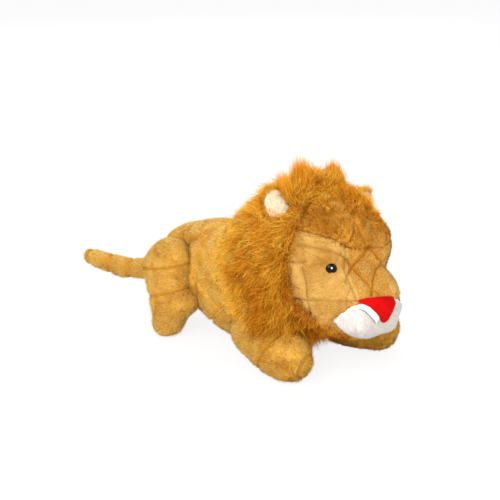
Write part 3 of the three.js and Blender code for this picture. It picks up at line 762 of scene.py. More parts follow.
# %% Legs and tail
LEGS = ("front_leg_right", "front_leg_left", "hind_leg_right", "hind_leg_left")
legs = {}
leg_rows = {}
for word in LEGS:
    side = -1 if word.endswith("right") else 1
    if word.startswith("front"):
        leg_rows[word] = [
            Rows(at(38, side * 64, 40), (0.88, 0, -0.47)),
            Rows(at(69, side * 54, 30), (0.93, -side * 0.25, -0.2)),
        ]
    else:
        leg_rows[word] = [
            Rows(at(-125, side * 64, 69), (-0.26, 0, 0.966)),
            Rows(at(-115, side * 66, 45), (-0.34, 0, 0.94)),
            Rows(at(-118, side * 66, 20), (1, 0, 0.1), None, lambda points: toy_places(points)[:, 2] < 46),
        ]
    leg = filled_form(word + "_plush", [word + "_skin", word + "_stuffing"], 3.0 * MM,
                      8 if word.startswith("hind") else 48)
    points, normals = points_of(leg), normals_of(leg)
    if word.startswith("hind"):
        ahead, _, up = toy_places(points).T
        knee = bell(up - 39, 13) * ease(-122, -98, ahead)
        rear = bell(up - 58, 15) * (1 - ease(-152, -134, ahead))
        points += (knee * 15 - rear * 4)[:, None] * np.array((MM, 0, 0))
    else:
        points += normals * 0.7 * MM
        points[:, 2] = np.maximum(points[:, 2], 0.4 * MM)
    set_points(leg, points)
    stuff(leg, leg_rows[word], cap=1.2 * MM, plump=0.6 * MM)
    crumple(leg, 1.0 * MM, 0.026, 4)
    draw_in(leg, leg_rows[word], 1.8 * MM, 1.8 * MM)
    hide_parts(word + "_skin", word + "_stuffing")
    dress(leg, gold_ground)
    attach(leg, word)
    legs[word] = leg

tail_root = Vector(joints["tail_swing"]["pos_m"])
tail_rows = [Rows(tail_root + Vector((-39, 0, 0)) * MM, (1, 0.25, 0), 27 * MM)]
tail = filled_form("tail_plush", ["tail_skin", "tail_stuffing"], 2.5 * MM, 4)
points, normals = points_of(tail), normals_of(tail)
set_points(tail, points - np.array((0, 0, 2 * MM)) * ease(-0.2, 1, -normals[:, 2:]))
stuff(tail, tail_rows, cap=0.6 * MM, plump=0.3 * MM)
crumple(tail, 0.7 * MM, 0.018, 5)
draw_in(tail, tail_rows, 1.1 * MM, 1.7 * MM)
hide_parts("tail_skin", "tail_stuffing")
dress(tail, gold_ground)
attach(tail, "tail")

# %% [markdown]
# ## The head
# The head is filled as one form and then parted into its three cloths along their seams: pale
# cheeks, a darker forehead that runs down the bridge of the nose, and a white muzzle.

# %% Head
BROW = 39.5
BRIDGE = 19
BRIDGE_BACK = 52


def brow(places):
    """How far above the curved seam of the brow each place lies, in millimetres."""
    from_middle = np.abs(places[:, 1])
    arch = 5 - 0.012 * (from_middle - 45) ** 2
    return places[:, 2] - BROW - np.where(from_middle < BRIDGE, -3, arch)


def muzzle_seam(places):
    """How far in front of the muzzle's seam each place lies, in millimetres."""
    cheek_lean, chin_lean = math.radians(36), math.radians(44)
    ahead, _, up = places.T
    side = (ahead - 73) * math.cos(cheek_lean) - (up + 42) * math.sin(cheek_lean)
    chin = (ahead - 84.5) * math.cos(chin_lean) + (up + 27) * math.sin(chin_lean)
    return np.minimum(side, chin)


def on_face(test):
    """Where a row reaches behind the muzzle's seam, by a test of places on the head."""
    return lambda points: test(head_places(points)) & (muzzle_seam(head_places(points)) < -2)


def cheek(places):
    return (brow(places) < -12) & (np.abs(places[:, 1]) > BRIDGE + 3)


on_forehead = on_face(lambda places: brow(places) > 3)
on_bridge = on_face(lambda places: (brow(places) < 3) & (np.abs(places[:, 1]) < BRIDGE + 9))


def near_seam(points):
    """Millimetres to the nearest seam between the head's cloths."""
    places = head_places(points)
    return np.minimum(np.abs(brow(places)), np.abs(muzzle_seam(places)))


head_rows = [
    Rows(on_head(76, 4, 39), head_direction(0, 1, 1), 27.7 * MM, on_bridge),
    Rows(on_head(76, 4, 39), head_direction(0, 1, -1), 22.1 * MM, on_bridge),
    Rows(on_head(60, -10, 66), head_direction(0.5, 0.8, 0.6), QUILT * 1.15, on_forehead),
    Rows(on_head(60, -10, 66), head_direction(0.5, -0.8, 0.6), QUILT * 1.15, on_forehead),
    Rows(on_head(41, -48, 16), head_direction(-0.25, 0, 1), None,
         on_face(lambda places: cheek(places) & (places[:, 0] < 53))),
    Rows(on_head(41, -48, -19), head_direction(-0.25, 0, 1), None, on_face(cheek)),
    Rows(on_head(54.5, -46, 0), head_direction(1, 0, 0.29), 32.7 * MM,
         on_face(lambda places: cheek(places) & (places[:, 2] < 14))),
    CurvedRow(lambda points: brow(head_places(points)) + 11,
              lambda points: (head_places(points)[:, 1] < -BRIDGE) & (head_places(points)[:, 0] > 40)),
    CurvedRow(lambda points: np.abs(head_places(points)[:, 1]) - BRIDGE - 4,
              lambda points: on_bridge(points) & (head_places(points)[:, 1] < 0)),
]
EYES = {word: sum(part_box("eye_" + word), Vector()) / 2 for word in ("right", "left")}


def held_on_head(points):
    """Seams and what is sewn or locked on keep the skin where it is."""
    held = 1 - ease(1.5, 4.5, near_seam(points))
    for eye in EYES.values():
        held = np.maximum(held, 1 - ease(9 * MM, 14 * MM, distance_to(points, eye)))
    nose_low, nose_high = (np.array(corner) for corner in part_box("nose_patch"))
    off = np.maximum(np.maximum(nose_low - points, points - nose_high), 0)
    return np.maximum(held, 1 - ease(0, 4 * MM, np.linalg.norm(off, axis=1)))


head = filled_form("head_plush", ["head_skin", "forehead_panel", "muzzle_panel", "head_stuffing"],
                   3.1 * MM, 8)
points, normals = points_of(head), normals_of(head)
ahead, side, up = head_places(points).T
far_side = (ease(6, 26, side) * ease(40, 58, ahead) * (1 - ease(92, 106, ahead))
            * ease(-32, -12, up) * (1 - ease(44, 62, up)))
far_side *= ease(4 * MM, 20 * MM, distance_to(points, EYES["left"]))
points += normals * (7.5 * MM * far_side)[:, None]
under_chin = ease(26, 44, -up) * ease(60, 84, ahead)
points += np.array(head_up) * (under_chin * (2 + 4.5 * ease(-10, 10, side)) * MM)[:, None]
set_points(head, points)
stuff(head, head_rows, held=held_on_head, cap=1.8 * MM, plump=0.4 * MM)
crumple(head, 0.7 * MM, 0.03, 6)
draw_in(head, head_rows, 1.9 * MM, 1.5 * MM)
press(head, -1.3 * MM * bell(near_seam(points_of(head)), 1.6))


# %% Cut the head into its three cloths
def take(piece, name, chosen):
    """Splits off the faces that are chosen as a new piece."""
    middles = head_places(np.array([polygon.center for polygon in piece.data.polygons]))
    use(piece)
    bpy.ops.object.mode_set(mode="EDIT")
    bpy.ops.mesh.select_all(action="DESELECT")
    bpy.ops.object.mode_set(mode="OBJECT")
    piece.data.polygons.foreach_set("select", chosen(middles))
    bpy.ops.object.mode_set(mode="EDIT")
    bpy.ops.mesh.select_mode(type="FACE")
    bpy.ops.mesh.separate(type="SELECTED")
    bpy.ops.object.mode_set(mode="OBJECT")
    taken = next(each for each in bpy.context.selected_objects if each != piece)
    taken.name = name
    return taken


head_whole = tree_of(head)
muzzle = take(head, "muzzle_plush", lambda places: muzzle_seam(places) > 0)
forehead = take(head, "forehead_plush", lambda places: (
    (brow(places) > 0)
    | ((np.abs(places[:, 1]) < BRIDGE) & (places[:, 0] > BRIDGE_BACK) & (places[:, 2] > -20))))
for piece, nodes, finish, slot in (
    (head, ["head_skin", "head_stuffing"], pale_ground, "pale_plush"),
    (forehead, ["forehead_panel"], brown_ground, "dark_plush"),
    (muzzle, ["muzzle_panel"], white_ground, "white_plush"),
):
    modify(piece, "SOLIDIFY", thickness=2 * MM, offset=-1)
    apply_all(piece)
    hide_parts(*nodes)
    dress(piece, finish)
    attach(piece, "head")
    print(piece.name, "has", len(piece.data.polygons), "faces")

# %% [markdown]
# ## The base of the mane
# The mane's two solids are as large as its hair reaches. The cloth that the hair grows from lies
# deeper, so their copies are drawn in towards the body. The hair then fills the space up to the
# solids' outsides.

# %% Mane cloths
MANE_DEPTH = 9 * MM
bodies_under = [tree_of(torso), head_whole] + [tree_of(leg) for leg in legs.values()]


def nearest_body(point):
    found = [tree.find_nearest(point) for tree in bodies_under]
    return min(found, key=lambda hit: hit[3])


def mane_cloth(name, node):
    cloth = filled_form(name, [node], 5 * MM, 6)
    points = points_of(cloth)
    for index, point in enumerate(points):
        place, _, _, far = nearest_body(point)
        drawn = MANE_DEPTH * (0.55 + 0.45 * float(ease(-50, 0, (point[0] - drawn_from.x) / MM)))
        points[index] += (np.array(place) - point) * min(drawn, 0.65 * far) / max(far, 1e-6)
    set_points(cloth, points)
    modify(cloth, "SMOOTH", iterations=4)
    apply_all(cloth)
    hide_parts(node)
    dress(cloth, mane_ground)
    return cloth


ruff = mane_cloth("mane_ruff_cloth", "mane_ruff")
cape = mane_cloth("mane_cape_cloth", "mane_cape")
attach(ruff, "head")
ruff_tree, cape_tree = tree_of(ruff), tree_of(cape)
print("the mane's cloths have", len(ruff.data.polygons) + len(cape.data.polygons), "faces")

# %% [markdown]
# ## Pile on the body
# The nap runs backwards and a little down all over, as on any animal.

# %% Pile on torso, legs and tail
torso_tree = tree_of(torso)
leg_trees = {word: tree_of(leg) for word, leg in legs.items()}
covers = [(ruff_tree, 1 * MM), (cape_tree, 1 * MM)]
leg_covers = [(tree, 0.5 * MM) for tree in leg_trees.values()]
torso_cover = [(torso_tree, 0.5 * MM)]


def crease_shade_and_top_light(size, seed):
    """Painted shade along the folds that crumple made, and painted light on top, where the skin faces up."""
    return lambda places, normals: (0.04 + 0.3 * ease(0.3, 0.95, normals[:, 2])
                                    - 0.25 * folds(places, size, seed))


def leg_shade(word):
    """Painted shade under the head on the front legs, the far one most, and along crumple's folds."""
    # Painted shade: the front legs darker towards the front, under the head.
    head_shade = {"front_leg_left": 0.6, "front_leg_right": 0.3}.get(word, 0)
    return lambda places, normals: (0.14 - head_shade * ease(10, 50, toy_places(places)[:, 0])
                                    - 0.25 * folds(places, 0.026, 4))


def along(direction):
    """A nap that runs the same way everywhere."""
    return lambda places, normals: np.tile(direction, (len(places), 1))


def outside(*covering):
    """Keeps what none of the closed forms covers."""
    return lambda places, normals: ~inside(places, covering)


def fur(piece, finish, body):
    dress(piece, finish)
    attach(piece, body)


backwards = along((-1.0, 0.0, -0.35))
fur(pile("torso_pile", torso, 49000, backwards, 11, torso_rows + torso_creases,
         under=covers + leg_covers, tone=crease_shade_and_top_light(0.03, 3)), gold_pile, "torso")
for number, word in enumerate(LEGS):
    fur(pile(word + "_pile", legs[word], 15000, backwards, 20 + number, leg_rows[word],
             under=covers + torso_cover, tone=leg_shade(word)), gold_pile, word)
fur(pile("tail_pile", tail, 10000, backwards, 31, tail_rows, under=torso_cover,
         tone=crease_shade_and_top_light(0.018, 5)), gold_pile, "tail")
fur(stitches("torso_stitches", torso, torso_rows, 15, outside(*covers, *leg_covers), rise=1.5 * MM),
    thread_colour, "torso")
for number, word in enumerate(LEGS):
    fur(stitches(word + "_stitches", legs[word], leg_rows[word], 16 + number,
                 outside(*covers, *torso_cover), width=0.6 * MM, rise=1.5 * MM, run=4.6 * MM),
        shaded_thread, word)

# %% [markdown]
# ## Pile on the head
# The face's nap runs back from the nose. The muzzle's white pile is fluffier.

# %% Pile on the three cloths
def off_face(places, normals):
    """Backwards along the head, away from the nose."""
    away = places - np.array(on_head(118, 0, -6))
    return unit(away) + np.array(head_direction(-0.5, 0, 0.1))


def faces_out(places, normals):
    """Keeps the outside of a cloth that has a thickness."""
    rays = zip(places + normals * 2.2 * MM, normals)
    return np.array([head_whole.ray_cast(Vector(start), Vector(run))[0] is None for start, run in rays])


def and_also(clear, test, places, normals):
    """Asks a slow test only about the places that are clear so far."""
    clear[clear] = test(places[clear], normals[clear])
    return clear


def clear_of_eyes(places, normals):
    clear = faces_out(places, normals)
    for eye in EYES.values():
        clear &= distance_to(places, eye) > 6.0 * MM
    return clear


def face_tone_and_shade(places, normals):
    """Palest on the bridge, deeper on the forehead, deepest behind each eye, and painted shade on the far
    side.
    """
    spots = head_places(places)
    _, side, up = spots.T
    bridge = (1 - ease(14, 36, np.abs(side))) * (1 - ease(30, 50, up))
    forehead_share = np.where(side < 0, ease(-17, 0, brow(spots)), ease(-10, 5, brow(spots)))
    # Painted shade: the far side of the face is darker.
    far_side = ease(20, 44, side)
    tone = 0.16 + 0.22 * bridge - 0.4 * forehead_share - 0.2 * far_side * (1 - forehead_share)
    tone += 0.3 * ease(-30, 20, side) * forehead_share
    # The darkening along the folds that crumple made is painted shade.
    tone += 0.3 * (patches(places, 0.009, 21) - 0.5) - 0.12 * folds(places, 0.03, 6)
    tone -= 0.35 * bell(near_seam(places), 1.5)
    for eye in EYES.values():
        behind = head_whole.find_nearest(eye - head_ahead * 11 * MM)[0]
        tone -= 0.45 * bell(distance_to(places, behind), 8 * MM)
    return tone


def inside_muzzle(places, normals):
    """The white pile stops short of its seam and of the nose's top edge."""
    spots = head_places(places)
    clear = muzzle_seam(spots) > 1.0 + 2.0 * ease(-24, -12, spots[:, 2])
    return and_also(clear, faces_out, places, normals)


nose = filled_form("nose_plush", ["nose_patch"], 1.2 * MM, 4)
press(nose, 0.9 * MM)
nose_cover = [(tree_of(nose), 0.5 * MM)]
FACE = (("cheek", head, "pale_plush", clear_of_eyes, []),
        ("forehead", forehead, "dark_plush", faces_out, nose_cover))
for number, (name, cloth, slot, keep, under) in enumerate(FACE):
    fur(pile(name + "_pile", cloth, 56000, off_face, 41 + number, head_rows, length=2.8 * MM,
             width=0.52 * MM, rise=0.4, keep=keep, under=covers + under, tone=face_tone_and_shade),
        face_pile, "head")
for name, cloth, slot, *_ in FACE:
    fur(stitches(name + "_thread", cloth, head_rows, 47, lambda places, normals: faces_out(places, normals)
                 & ~inside(places, covers), rise=1.1 * MM, run=4.6 * MM), shaded_thread, "head")
fur(pile("muzzle_pile", muzzle, 30000, off_face, 43, length=2.6 * MM, keep=inside_muzzle, messy=0.6,
         rise=0.7, under=nose_cover), white_pile, "head")

# %% [markdown]
# ## The nose and its ribbon
# The nose is a small red cushion of very short plush. A small loop of plain white ribbon is sewn
# in beside it.

# %% Nose and ribbon
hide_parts("nose_patch")
dress(nose, red_ground)
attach(nose, "head")
fur(pile("nose_pile", nose, 6000, off_face, 44, length=1.5 * MM, width=0.4 * MM, rise=0.6),
    red_pile, "head")

weave, given, result = node_group(
    "weave",
    {"Pale": srgb(244, 244, 242), "Dark": srgb(206, 206, 208), "Threads": 1800.0},
    "Color", "Height",
)
place = add(weave, "TexCoord", {}).outputs["Object"]
first, second = (add(weave, "TexWave", {"Distortion": 0.4, "Vector": place, "Scale": given["Threads"]},
                     bands_direction=direction).outputs["Fac"] for direction in ("X", "Z"))
higher = add(weave, "Math", {0: first, 1: second}, operation="MAXIMUM").outputs[0]
weave.links.new(mixed(weave, higher, given["Dark"], given["Pale"]), result["Color"])
weave.links.new(higher, result["Height"])


def woven(name, pale, dark, threads, roughness):
    values = {"Pale": srgb(*pale), "Dark": srgb(*dark), "Threads": threads}
    return material(name, roughness, weave, values, (0.4, 0.1 * MM))


label = filled_form("ribbon_loop", ["nose_label"], 0.6 * MM, 3)
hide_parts("nose_label")
dress(label, woven("ribbon weave", (246, 246, 244), (214, 214, 216), 900.0, 0.5))
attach(label, "head")

# %% The ribbon's dark edge line
# A thin line of dark grey strands along the ribbon's outer edge.
edge_run = unit(np.array(head_direction(16, 18, -17)))
edge_out = unit(np.array(head_direction(-0.1, -0.69, -0.72)))
points = points_of(label)
share = points @ edge_run
edge_line = []
for start in np.linspace(share.min(), share.max(), 15)[:-1]:
    near = points[(share >= start) & (share < start + (share.max() - share.min()) / 13)]
    edge_line.append(near[(near @ edge_out).argmax()])
edge_line = np.array(edge_line) + np.array(head_direction(0.5, -0.3, 0.1)) * MM
edge_line_finish = fur_material("edge line finish", (60, 62, 78), (84, 86, 104), (104, 106, 120), 1.0)
fur(strands("ribbon_edge_line", np.stack([edge_line[:-1], edge_line[1:] + (edge_line[1:] - edge_line[:-1]) * 0.3], axis=1),
            np.full(13, 1.2 * MM), np.full(13, 0.5), 46), edge_line_finish, "head")

# %% [markdown]
# ## The eyes
# Each eye is a black bead whose stem goes through the cloth to a washer. The bead is a sphere
# pressed flat, standing on the washer's axis.

# %% Eyes
BEAD_RADIUS = 5.7 * MM
BEAD_FLATNESS = 0.62
BEAD_SINK = 5.2 * MM


def disc_axis(node, outwards):
    """The direction across a washer: the one its largest flat faces share."""
    faces = frame["nodes"][node].data.polygons
    outer = [face for face in faces if face.normal.dot(outwards) > 0]
    return max(outer, key=lambda face: face.area).normal.copy()


bead_colours = {"Deep": srgb(4, 4, 4), "Pale": srgb(14, 11, 10), "Blotch": 300.0, "Grain": 3000.0}
bead_gloss = material("bead gloss", 0.12, ground, bead_colours, specular=0.12)
beads = bpy.data.collections.new("beads")
for word, centre in EYES.items():
    outwards = centre - on_head(40, 0, 10)
    across = disc_axis("eye_washer_" + word, outwards)
    bpy.ops.object.select_all(action="DESELECT")
    bpy.ops.mesh.primitive_uv_sphere_add(segments=48, ring_count=24, radius=BEAD_RADIUS)
    bead = bpy.context.active_object
    bead.name = "eye_bead_" + word
    bead.scale = (1, 1, BEAD_FLATNESS)
    bead.rotation_euler = across.to_track_quat("Z", "Y").to_euler()
    mesh = frame["nodes"]["eye_" + word].data
    top = max((corner.co for corner in mesh.vertices), key=lambda co: co.dot(across))
    bead.location = centre + across * ((top - centre).dot(across) - BEAD_SINK)
    bpy.ops.object.transform_apply(location=True, rotation=True, scale=True)
    bpy.ops.object.shade_smooth()
    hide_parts("eye_" + word)
    dress(bead, bead_gloss)
    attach(bead, "head")
    beads.objects.link(bead)
    print(bead.name, "looks towards", [round(x, 2) for x in across])

# %% [markdown]
# ## The ears
# Each ear is a gold back, which gets long hair like the mane's, and a lining of cream plush.

# %% Ears
ear_trees = []
ear_fronts = []
ear_backs = {}
for number, word in enumerate(("right", "left")):
    back = filled_form("ear_back_plush_" + word, ["ear_back_" + word], 1.6 * MM, 4)
    lining = filled_form("ear_lining_plush_" + word, ["ear_lining_" + word], 1.2 * MM, 3)
    back_tree, lining_tree = tree_of(back), tree_of(lining)
    ear_trees += [back_tree, lining_tree]
    ear_backs[word] = (back, lining_tree)
    middle = sum(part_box("ear_lining_" + word), Vector()) / 2
    facing = (middle - sum(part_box("ear_back_" + word), Vector()) / 2).normalized()
    ear_fronts.append((middle + Vector((1.5, 1.5, 0)) * MM, facing, (6.5 if word == "right" else 0) * MM))
    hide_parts("ear_back_" + word)
    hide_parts("ear_lining_" + word)
    for piece, finish, slot in ((back, gold_ground, "gold_plush"), (lining, cream_ground, "cream_plush")):
        dress(piece, finish)
        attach(piece, "ear_" + word)
    upwards = head_direction(0, 0.2 if word == "left" else -0.2, 1)
    fur(pile("ear_lining_pile_" + word, lining, 6000, along(upwards), 52 + number, length=3.4 * MM,
             under=[(back_tree, 0.3 * MM)]), cream_pile, "ear_" + word)
    print("the", word, "ear faces", [round(x, 2) for x in facing])

# %% [markdown]
# ## The mane's hair
# The hair is long, wavy and tangled. Each lock has a leader that its neighbours lean towards, and
# every hair gets a wave of its own. It leaves the face's edge outwards and then falls back.

# %% Hair
STRAY = 9 * MM
HAIR_WIDTH = 0.38 * MM
HAIR_ROOT = 1.0 * MM
HAIR_CLEARANCE = 2.5 * MM
HAIRS_PER_LOCK = 16
LONG_SHARE = 0.06


def mane_flow(places):
    """Outwards from the face at its edge, backwards further on, and falling everywhere but on top."""
    spots = head_places(places)
    out = spots * (0, 1, 1) - (0, 0, 5)
    radial = unit(out) @ HEAD_AXES
    front = ease(12, 44, spots[:, 0])[:, None]
    top = ease(55, 80, spots[:, 2])[:, None]
    return (radial * (0.3 + 0.5 * front) - np.array(head_ahead) * (0.6 - 0.5 * front)
            + np.array((0, 0, -0.6)) * (1 - top))


def push_out(points, trees, clearance):
    """Lifts the points that lie too near a form, or in it, off its surface."""
    for index, point in enumerate(points):
        for tree in trees:
            place, normal, *_ = tree.find_nearest(point, SEARCH)
            if place is None:
                continue
            out = (Vector(point) - place).dot(normal)
            if out < clearance:
                points[index] = np.array(place + normal * clearance)
                point = points[index]
    return points


def hair(name, cloth, count, seed, length, lift, keep, tone, steps=3):
    """Long hair. Strands that stray too far sideways or hang before an ear's lining are dropped."""
    places, normals = scatter(cloth, count, seed)
    kept = keep(places, normals)
    places, normals = places[kept], normals[kept]
    draw = np.random.default_rng(seed + 1)
    count = len(places)
    leaders = draw.choice(count, count // HAIRS_PER_LOCK, replace=False)
    finder = KDTree(len(leaders))
    for index in leaders:
        finder.insert(places[index], int(index))
    finder.balance()
    leader = np.array([finder.find(place)[1] for place in places])
    flow = over_skin(mane_flow(places), normals)
    wander = draw.normal(size=(count, 3))
    heading = flow + normals * lift * draw.uniform(0.6, 1.4, (count, 1))
    heading = unit(heading + wander[leader] * 0.4 + wander * 0.25)
    side = unit(np.cross(heading, normals))
    phase = draw.uniform(0, 2 * math.pi, count)[leader] + draw.normal(size=count) * 0.5
    far = length(places) * draw.uniform(0.55, 1.15, count)
    far *= 0.75 + 0.5 * draw.uniform(size=count)[leader]
    far *= np.where(draw.uniform(size=count) < LONG_SHARE, 1.5, 1)
    paths = [places - normals * HAIR_ROOT]
    for step in range(1, steps + 1):
        wave = side * np.sin(phase + step * 1.7)[:, None] * 0.5 + draw.normal(size=(count, 3)) * 0.42
        bend = heading + wave + np.array((0, 0, -0.08)) * step
        paths.append(paths[-1] + unit(bend) * (far / steps)[:, None])
    paths = np.stack(paths, axis=1)
    for step in range(1, steps + 1):
        lean = 0.27 * (step / steps) ** 1.3
        paths[:, step] += (paths[leader, step] - paths[:, step]) * lean
    for step in range(2, steps + 1):
        paths[:, step] = push_out(paths[:, step], bodies_under + ear_trees, HAIR_CLEARANCE)
    clear = (np.abs(paths[:, :, 1]) < cad_high[1] + STRAY).all(axis=1)
    for middle, facing, radius in ear_fronts:
        for step in range(1, steps + 1):
            off = paths[:, step] - np.array(middle)
            ahead = off @ np.array(facing)
            beside = np.linalg.norm(off - ahead[:, None] * np.array(facing), axis=1)
            clear &= (ahead < -2 * MM) | (beside > radius) | (ahead > 13 * MM)
    tones = 0.5 + (patches(places, 0.035, seed) - 0.5) * 0.5 + draw.normal(size=count)[leader] * 0.16
    tones += draw.normal(size=count) * 0.18 + tone(places, normals)
    return strands(name, paths[clear], np.full(clear.sum(), HAIR_WIDTH), tones[clear], seed + 2)


def always(value):
    """One length or tone for every hair."""
    return lambda places, *_: np.full(len(places), value)


def from_rear(points):
    """Millimetres forwards from the slanting line where the mane thins out on the neck."""
    ahead, _, up = toy_places(points).T
    return ahead + 0.35 * (up - 80)


def mane_tone_and_shade(places, normals):
    """Deeper by the face; painted shade underneath and where it faces down, painted light on top; paler at
    the back.
    """
    ahead, _, up = head_places(places).T
    rim = ease(30, 46, ahead) * (1 - ease(60, 78, up))
    behind = 1 - ease(-40, 22, from_rear(places))
    # Painted shade underneath and where the hair faces down, painted light on top.
    return (0.1 - 0.4 * rim - 0.26 * (1 - ease(-75, -25, up)) - 0.15 * ease(0.2, 0.9, -normals[:, 2])
            + 0.16 * ease(40, 80, up) + 0.42 * behind)


def beside_left_ear(places):
    """1 just in front of the left ear, whose lining longer hair hides."""
    spot = np.array(ear_fronts[1][0]) + np.array((5, -10, -8)) * MM
    return bell(distance_to(places, spot), 14 * MM)


def ruff_length(places):
    """Shorter on top, on the far side and under the chin, and longer by the left ear."""
    _, side, up = head_places(places).T
    far_side = ease(0, 30, side) * ease(0, 30, up)
    return MM * (22 - 7 * ease(45, 70, up) - 11 * far_side - 8 * ease(50, 75, -up)
                 + 17 * beside_left_ear(places))


def cape_length(places):
    """The hair grows out of short pile at the back and below, and is longest near the ruff."""
    up = toy_places(places)[:, 2]
    return MM * (5 + 5 * ease(50, 95, up) + 13 * ease(-44, 16, from_rear(places)) - 7 * ease(105, 150, up))


for number, (word, (back, lining_tree)) in enumerate(ear_backs.items()):
    made = hair("ear_hair_" + word, back, 5200, 54 + number, always(13 * MM), 0.5,
                outside((lining_tree, 1.0 * MM)), always(0.12))
    fur(made, mane_hair, "ear_" + word)
on_ruff = outside((cape_tree, 3 * MM), (head_whole, 1 * MM), (torso_tree, 2 * MM))
for part in range(3):
    made = hair(f"ruff_hair_{part + 1}", ruff, 13000, 60 + part, ruff_length, 0.6, on_ruff, mane_tone_and_shade)
    fur(made, mane_hair, "head")


def on_rim(places, normals):
    """The ruff's edge round the face, which the longer hair leaves bare as it lies back."""
    return inside(places, [(head_whole, 9 * MM)]) & ~inside(places, [(head_whole, 0.4 * MM)])


made = hair("rim_hair", ruff, 18000, 66, always(7 * MM), 1.1, on_rim, mane_tone_and_shade, steps=2)
fur(made, mane_hair, "head")

# %% The cape's pile, threads and hair
draw_in(cape, torso_rows, 1.0 * MM, 1.7 * MM)
on_cape = outside((ruff_tree, 3 * MM), (torso_tree, 2 * MM), (head_whole, 2.5 * MM),
                  *((tree, 2 * MM) for tree in leg_trees.values()))
cape_parts = [cape]


def cape_rear(places, normals):
    ragged = (patches(places, 0.01, 14) - 0.5) * 24
    return and_also(from_rear(places) < 4 + ragged, on_cape, places, normals)


def cape_side(places, normals):
    """The threads show only on the thin lower part of the cape's sides."""
    _, side, up = toy_places(places).T
    clear = (from_rear(places) < -4) & (np.abs(side) > 30) & (up < 92)
    return and_also(clear, on_cape, places, normals)


def cape_part(piece, finish):
    dress(piece, finish)
    cape_parts.append(piece)


cape_part(pile("cape_pile", cape, 52000, backwards, 74, torso_rows, length=4.4 * MM, keep=cape_rear,
               tone=crease_shade_and_top_light(0.03, 3)), gold_pile)
cape_part(stitches("cape_stitches", cape, torso_rows, 75, cape_side), thread_colour)
for part in range(2):
    cape_part(hair(f"cape_hair_{part + 1}", cape, 13500, 70 + part, cape_length, 0.55, on_cape, mane_tone_and_shade),
              mane_hair)
for piece in cape_parts:
    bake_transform(piece)

# %% [markdown]
# ## The fringe
# Above a ragged line the forehead's cloth carries the mane's long hair too.

# %% Fringe
HAIRLINE = [(-50, 33), (-42, 35), (-33, 42), (-13, 53), (-1, 61), (12, 66), (40, 56)]
off_ruff = outside((ruff_tree, 0.5 * MM))


def bare_outside(clear, places, normals):
    """The clear places on the outside of a head's cloth that the ruff doesn't cover."""
    return and_also(and_also(clear, faces_out, places, normals), off_ruff, places, normals)


def above_hairline(places, normals):
    ahead, side, up = head_places(places).T
    line = np.interp(side, *zip(*HAIRLINE)) + (patches(places, 0.007, 9) - 0.5) * 12 + 3
    clear = (ahead < line) & (up > 42) & (ahead > 20)
    return bare_outside(clear, places, normals)


def fringe_length(places):
    ahead, side, _ = head_places(places).T
    over = np.interp(side, *zip(*HAIRLINE)) - ahead
    return MM * (5 + (11 - 6 * ease(0, 28, side)) * ease(-6, 12, over) + 9 * beside_left_ear(places))


made = hair("fringe_hair", forehead, 39000, 80, fringe_length, 0.6, above_hairline, mane_tone_and_shade)
fur(made, mane_hair, "head")

# %% [markdown]
# ## The beard
# Under the cheeks the mane's hair starts on the head itself, along a line from the mane's edge to
# the corner of the muzzle.

# %% Beard
JAWLINE = [(41, 30), (45, -7), (56, -13), (66, -19), (75, -23), (84, -27), (98, -38), (110, -46)]


def below_jawline(places, normals):
    ahead, _, up = head_places(places).T
    line = np.interp(ahead, *zip(*JAWLINE)) + (patches(places, 0.01, 12) - 0.5) * 4
    return bare_outside((up < line - 3) & (ahead > 30), places, normals)


def beard_length(places):
    ahead, _, up = head_places(places).T
    return MM * (15 - 8 * ease(62, 90, ahead) - 4 * ease(30, 45, -up))


fur(hair("beard_hair", head, 39000, 84, beard_length, 0.35, below_jawline, always(-0.26)),
    mane_hair, "head")

# %% [markdown]
# ## The tufts
# Three tufts stand up on top of the mane, and a lower one in front of the left ear. Their hairs
# start apart, lean together and end raggedly.

# %% Tufts
def tuft(name, root, tip, radius, spread, count, seed):
    draw = np.random.default_rng(seed)
    turn = draw.uniform(0, 2 * math.pi, count)
    out = radius * np.sqrt(draw.uniform(size=count))
    ring = np.stack([np.cos(turn), np.sin(turn), np.zeros(count)], axis=1)
    start = np.array(root) + ring * out[:, None]
    end = np.array(tip) + ring * (out * 0.3)[:, None] + draw.normal(size=(count, 3)) * spread
    end += (np.array(tip) - np.array(root)) * (draw.triangular(-0.75, -0.25, 0.2, count))[:, None]
    wave = draw.uniform(0, 2 * math.pi, count)
    side = unit(np.cross(end - start, draw.normal(size=(count, 3))))
    paths = []
    for step in range(5):
        along = step / 4
        sway = side * (np.sin(wave + step * 1.6) * 1.5 * MM * along)[:, None]
        paths.append(start + (end - start) * along + sway)
    tones = 0.6 + draw.normal(size=count) * 0.22 - 0.2 * (out / radius - 0.5)
    rooted = inside(start, [(ruff_tree, 3 * MM), (head_whole, 1 * MM)])
    paths = np.stack(paths, axis=1)[rooted]
    return strands(name, paths, np.full(rooted.sum(), 0.36 * MM), tones[rooted], seed + 1)


left_lining = sum(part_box("ear_lining_left"), Vector()) / 2
TUFTS = [
    (at(33, -38, 168), at(29, -42, 196), 10 * MM, 3.6 * MM, 1600),
    (at(35, -20, 174), at(31, -20, 204), 12 * MM, 3.8 * MM, 2100),
    (at(37, 20, 168), at(31, 25, 194), 11 * MM, 3.2 * MM, 1900),
    (left_lining + Vector((7, -12, -12)) * MM, left_lining + Vector((9, -6, 14)) * MM,
     8 * MM, 3.2 * MM, 1100),
]
for number, measures in enumerate(TUFTS):
    fur(tuft(f"tuft_{number + 1}", *measures, 90 + number), mane_hair, "head")

# %% [markdown]
# ## What lies inside
# The squeaker and the eyes' washers keep their solids and get fitting finishes.

# %% Hidden pieces
def moulded(name, deep, pale, roughness):
    values = {"Deep": srgb(*deep), "Pale": srgb(*pale), "Blotch": 120.0, "Grain": 2500.0}
    return material(name, roughness, ground, values, (0.15, 0.05 * MM))


def finish_node(name, finish):
    piece = frame["nodes"][name]
    for slot in piece.material_slots:
        slot.material = finish


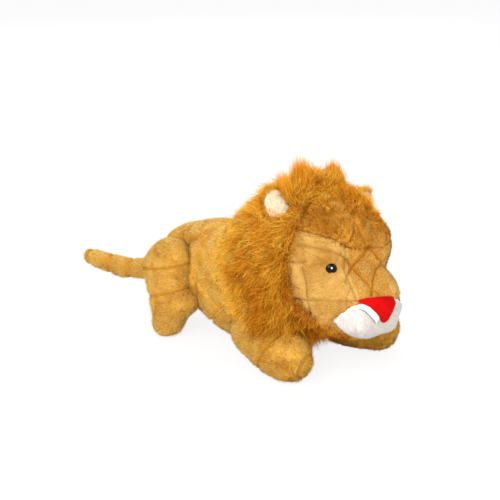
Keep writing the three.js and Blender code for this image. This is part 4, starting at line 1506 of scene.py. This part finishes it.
finish_node("squeaker_pouch", woven("pouch weave", (222, 216, 200), (186, 178, 160), 700.0, 0.9))
squeaker_finish = moulded("squeaker plastic", (206, 214, 218), (228, 234, 238), 0.4)
washer_finish = moulded("washer plastic", (214, 214, 212), (236, 236, 234), 0.5)
for name in ("squeaker_bulb", "squeaker_reed"):
    finish_node(name, squeaker_finish)
for name in ("eye_washer_right", "eye_washer_left"):
    finish_node(name, washer_finish)

# %% [markdown]
# ## Floor, lights and background
# The toy stands on a plain white floor in soft light. To the camera the floor is mostly its own
# white, and a share of it takes the light, which keeps the toy's shadow.

# %% Floor
bpy.ops.object.select_all(action="DESELECT")
bpy.ops.mesh.primitive_plane_add(size=60)
floor = bpy.context.active_object
floor.name = "floor"
floor_white = bpy.data.materials.new("floor white")
floor_white.use_nodes = True
tree = floor_white.node_tree
tree.nodes.clear()
paper = add(tree, "BsdfDiffuse", {"Color": (0.85, 0.85, 0.85, 1)})
glow = add(tree, "Emission", {"Color": (1, 1, 1, 1)})
seen = add(tree, "LightPath", {}).outputs["Is Camera Ray"]
share = add(tree, "Math", {0: seen, 1: 0.86}, operation="MULTIPLY")
blended = add(tree, "MixShader", {0: share.outputs[0], 1: paper.outputs[0], 2: glow.outputs[0]})
add(tree, "OutputMaterial", {"Surface": blended.outputs[0]})
floor.data.materials.append(floor_white)

# %% Background
world = bpy.data.worlds.new("white room")
scene.world = world
world.use_nodes = True
tree = world.node_tree
tree.nodes.clear()
seen = add(tree, "LightPath", {}).outputs["Is Camera Ray"]
strength = ranged(tree, seen, 0.0, 1.0, 0.84, 1.0)
room = add(tree, "Background", {"Color": (1, 1, 1, 1), "Strength": strength})
add(tree, "OutputWorld", {"Surface": room.outputs[0]})


# %% Lights
def soft_light(name, place, aim, size, power):
    made = bpy.data.lights.new(name, "AREA")
    made.size = size
    made.energy = power
    lamp = new_piece(name, made)
    point_at(lamp, place, aim)
    return lamp


soft_light("key", at(500, -1500, 1150), at(0, 0, 80), 1.2, 41)
soft_light("fill", at(1500, 300, 900), at(0, 0, 80), 1.5, 15)
soft_light("back", at(-1300, 900, 1200), at(0, 0, 80), 1.5, 20)
glint = soft_light("glint", at(900, -540, 330), at(70, -35, 110), 0.3, 60)
glint.light_linking.receiver_collection = beads
glint.visible_diffuse = False
scene.view_settings.view_transform = "Standard"
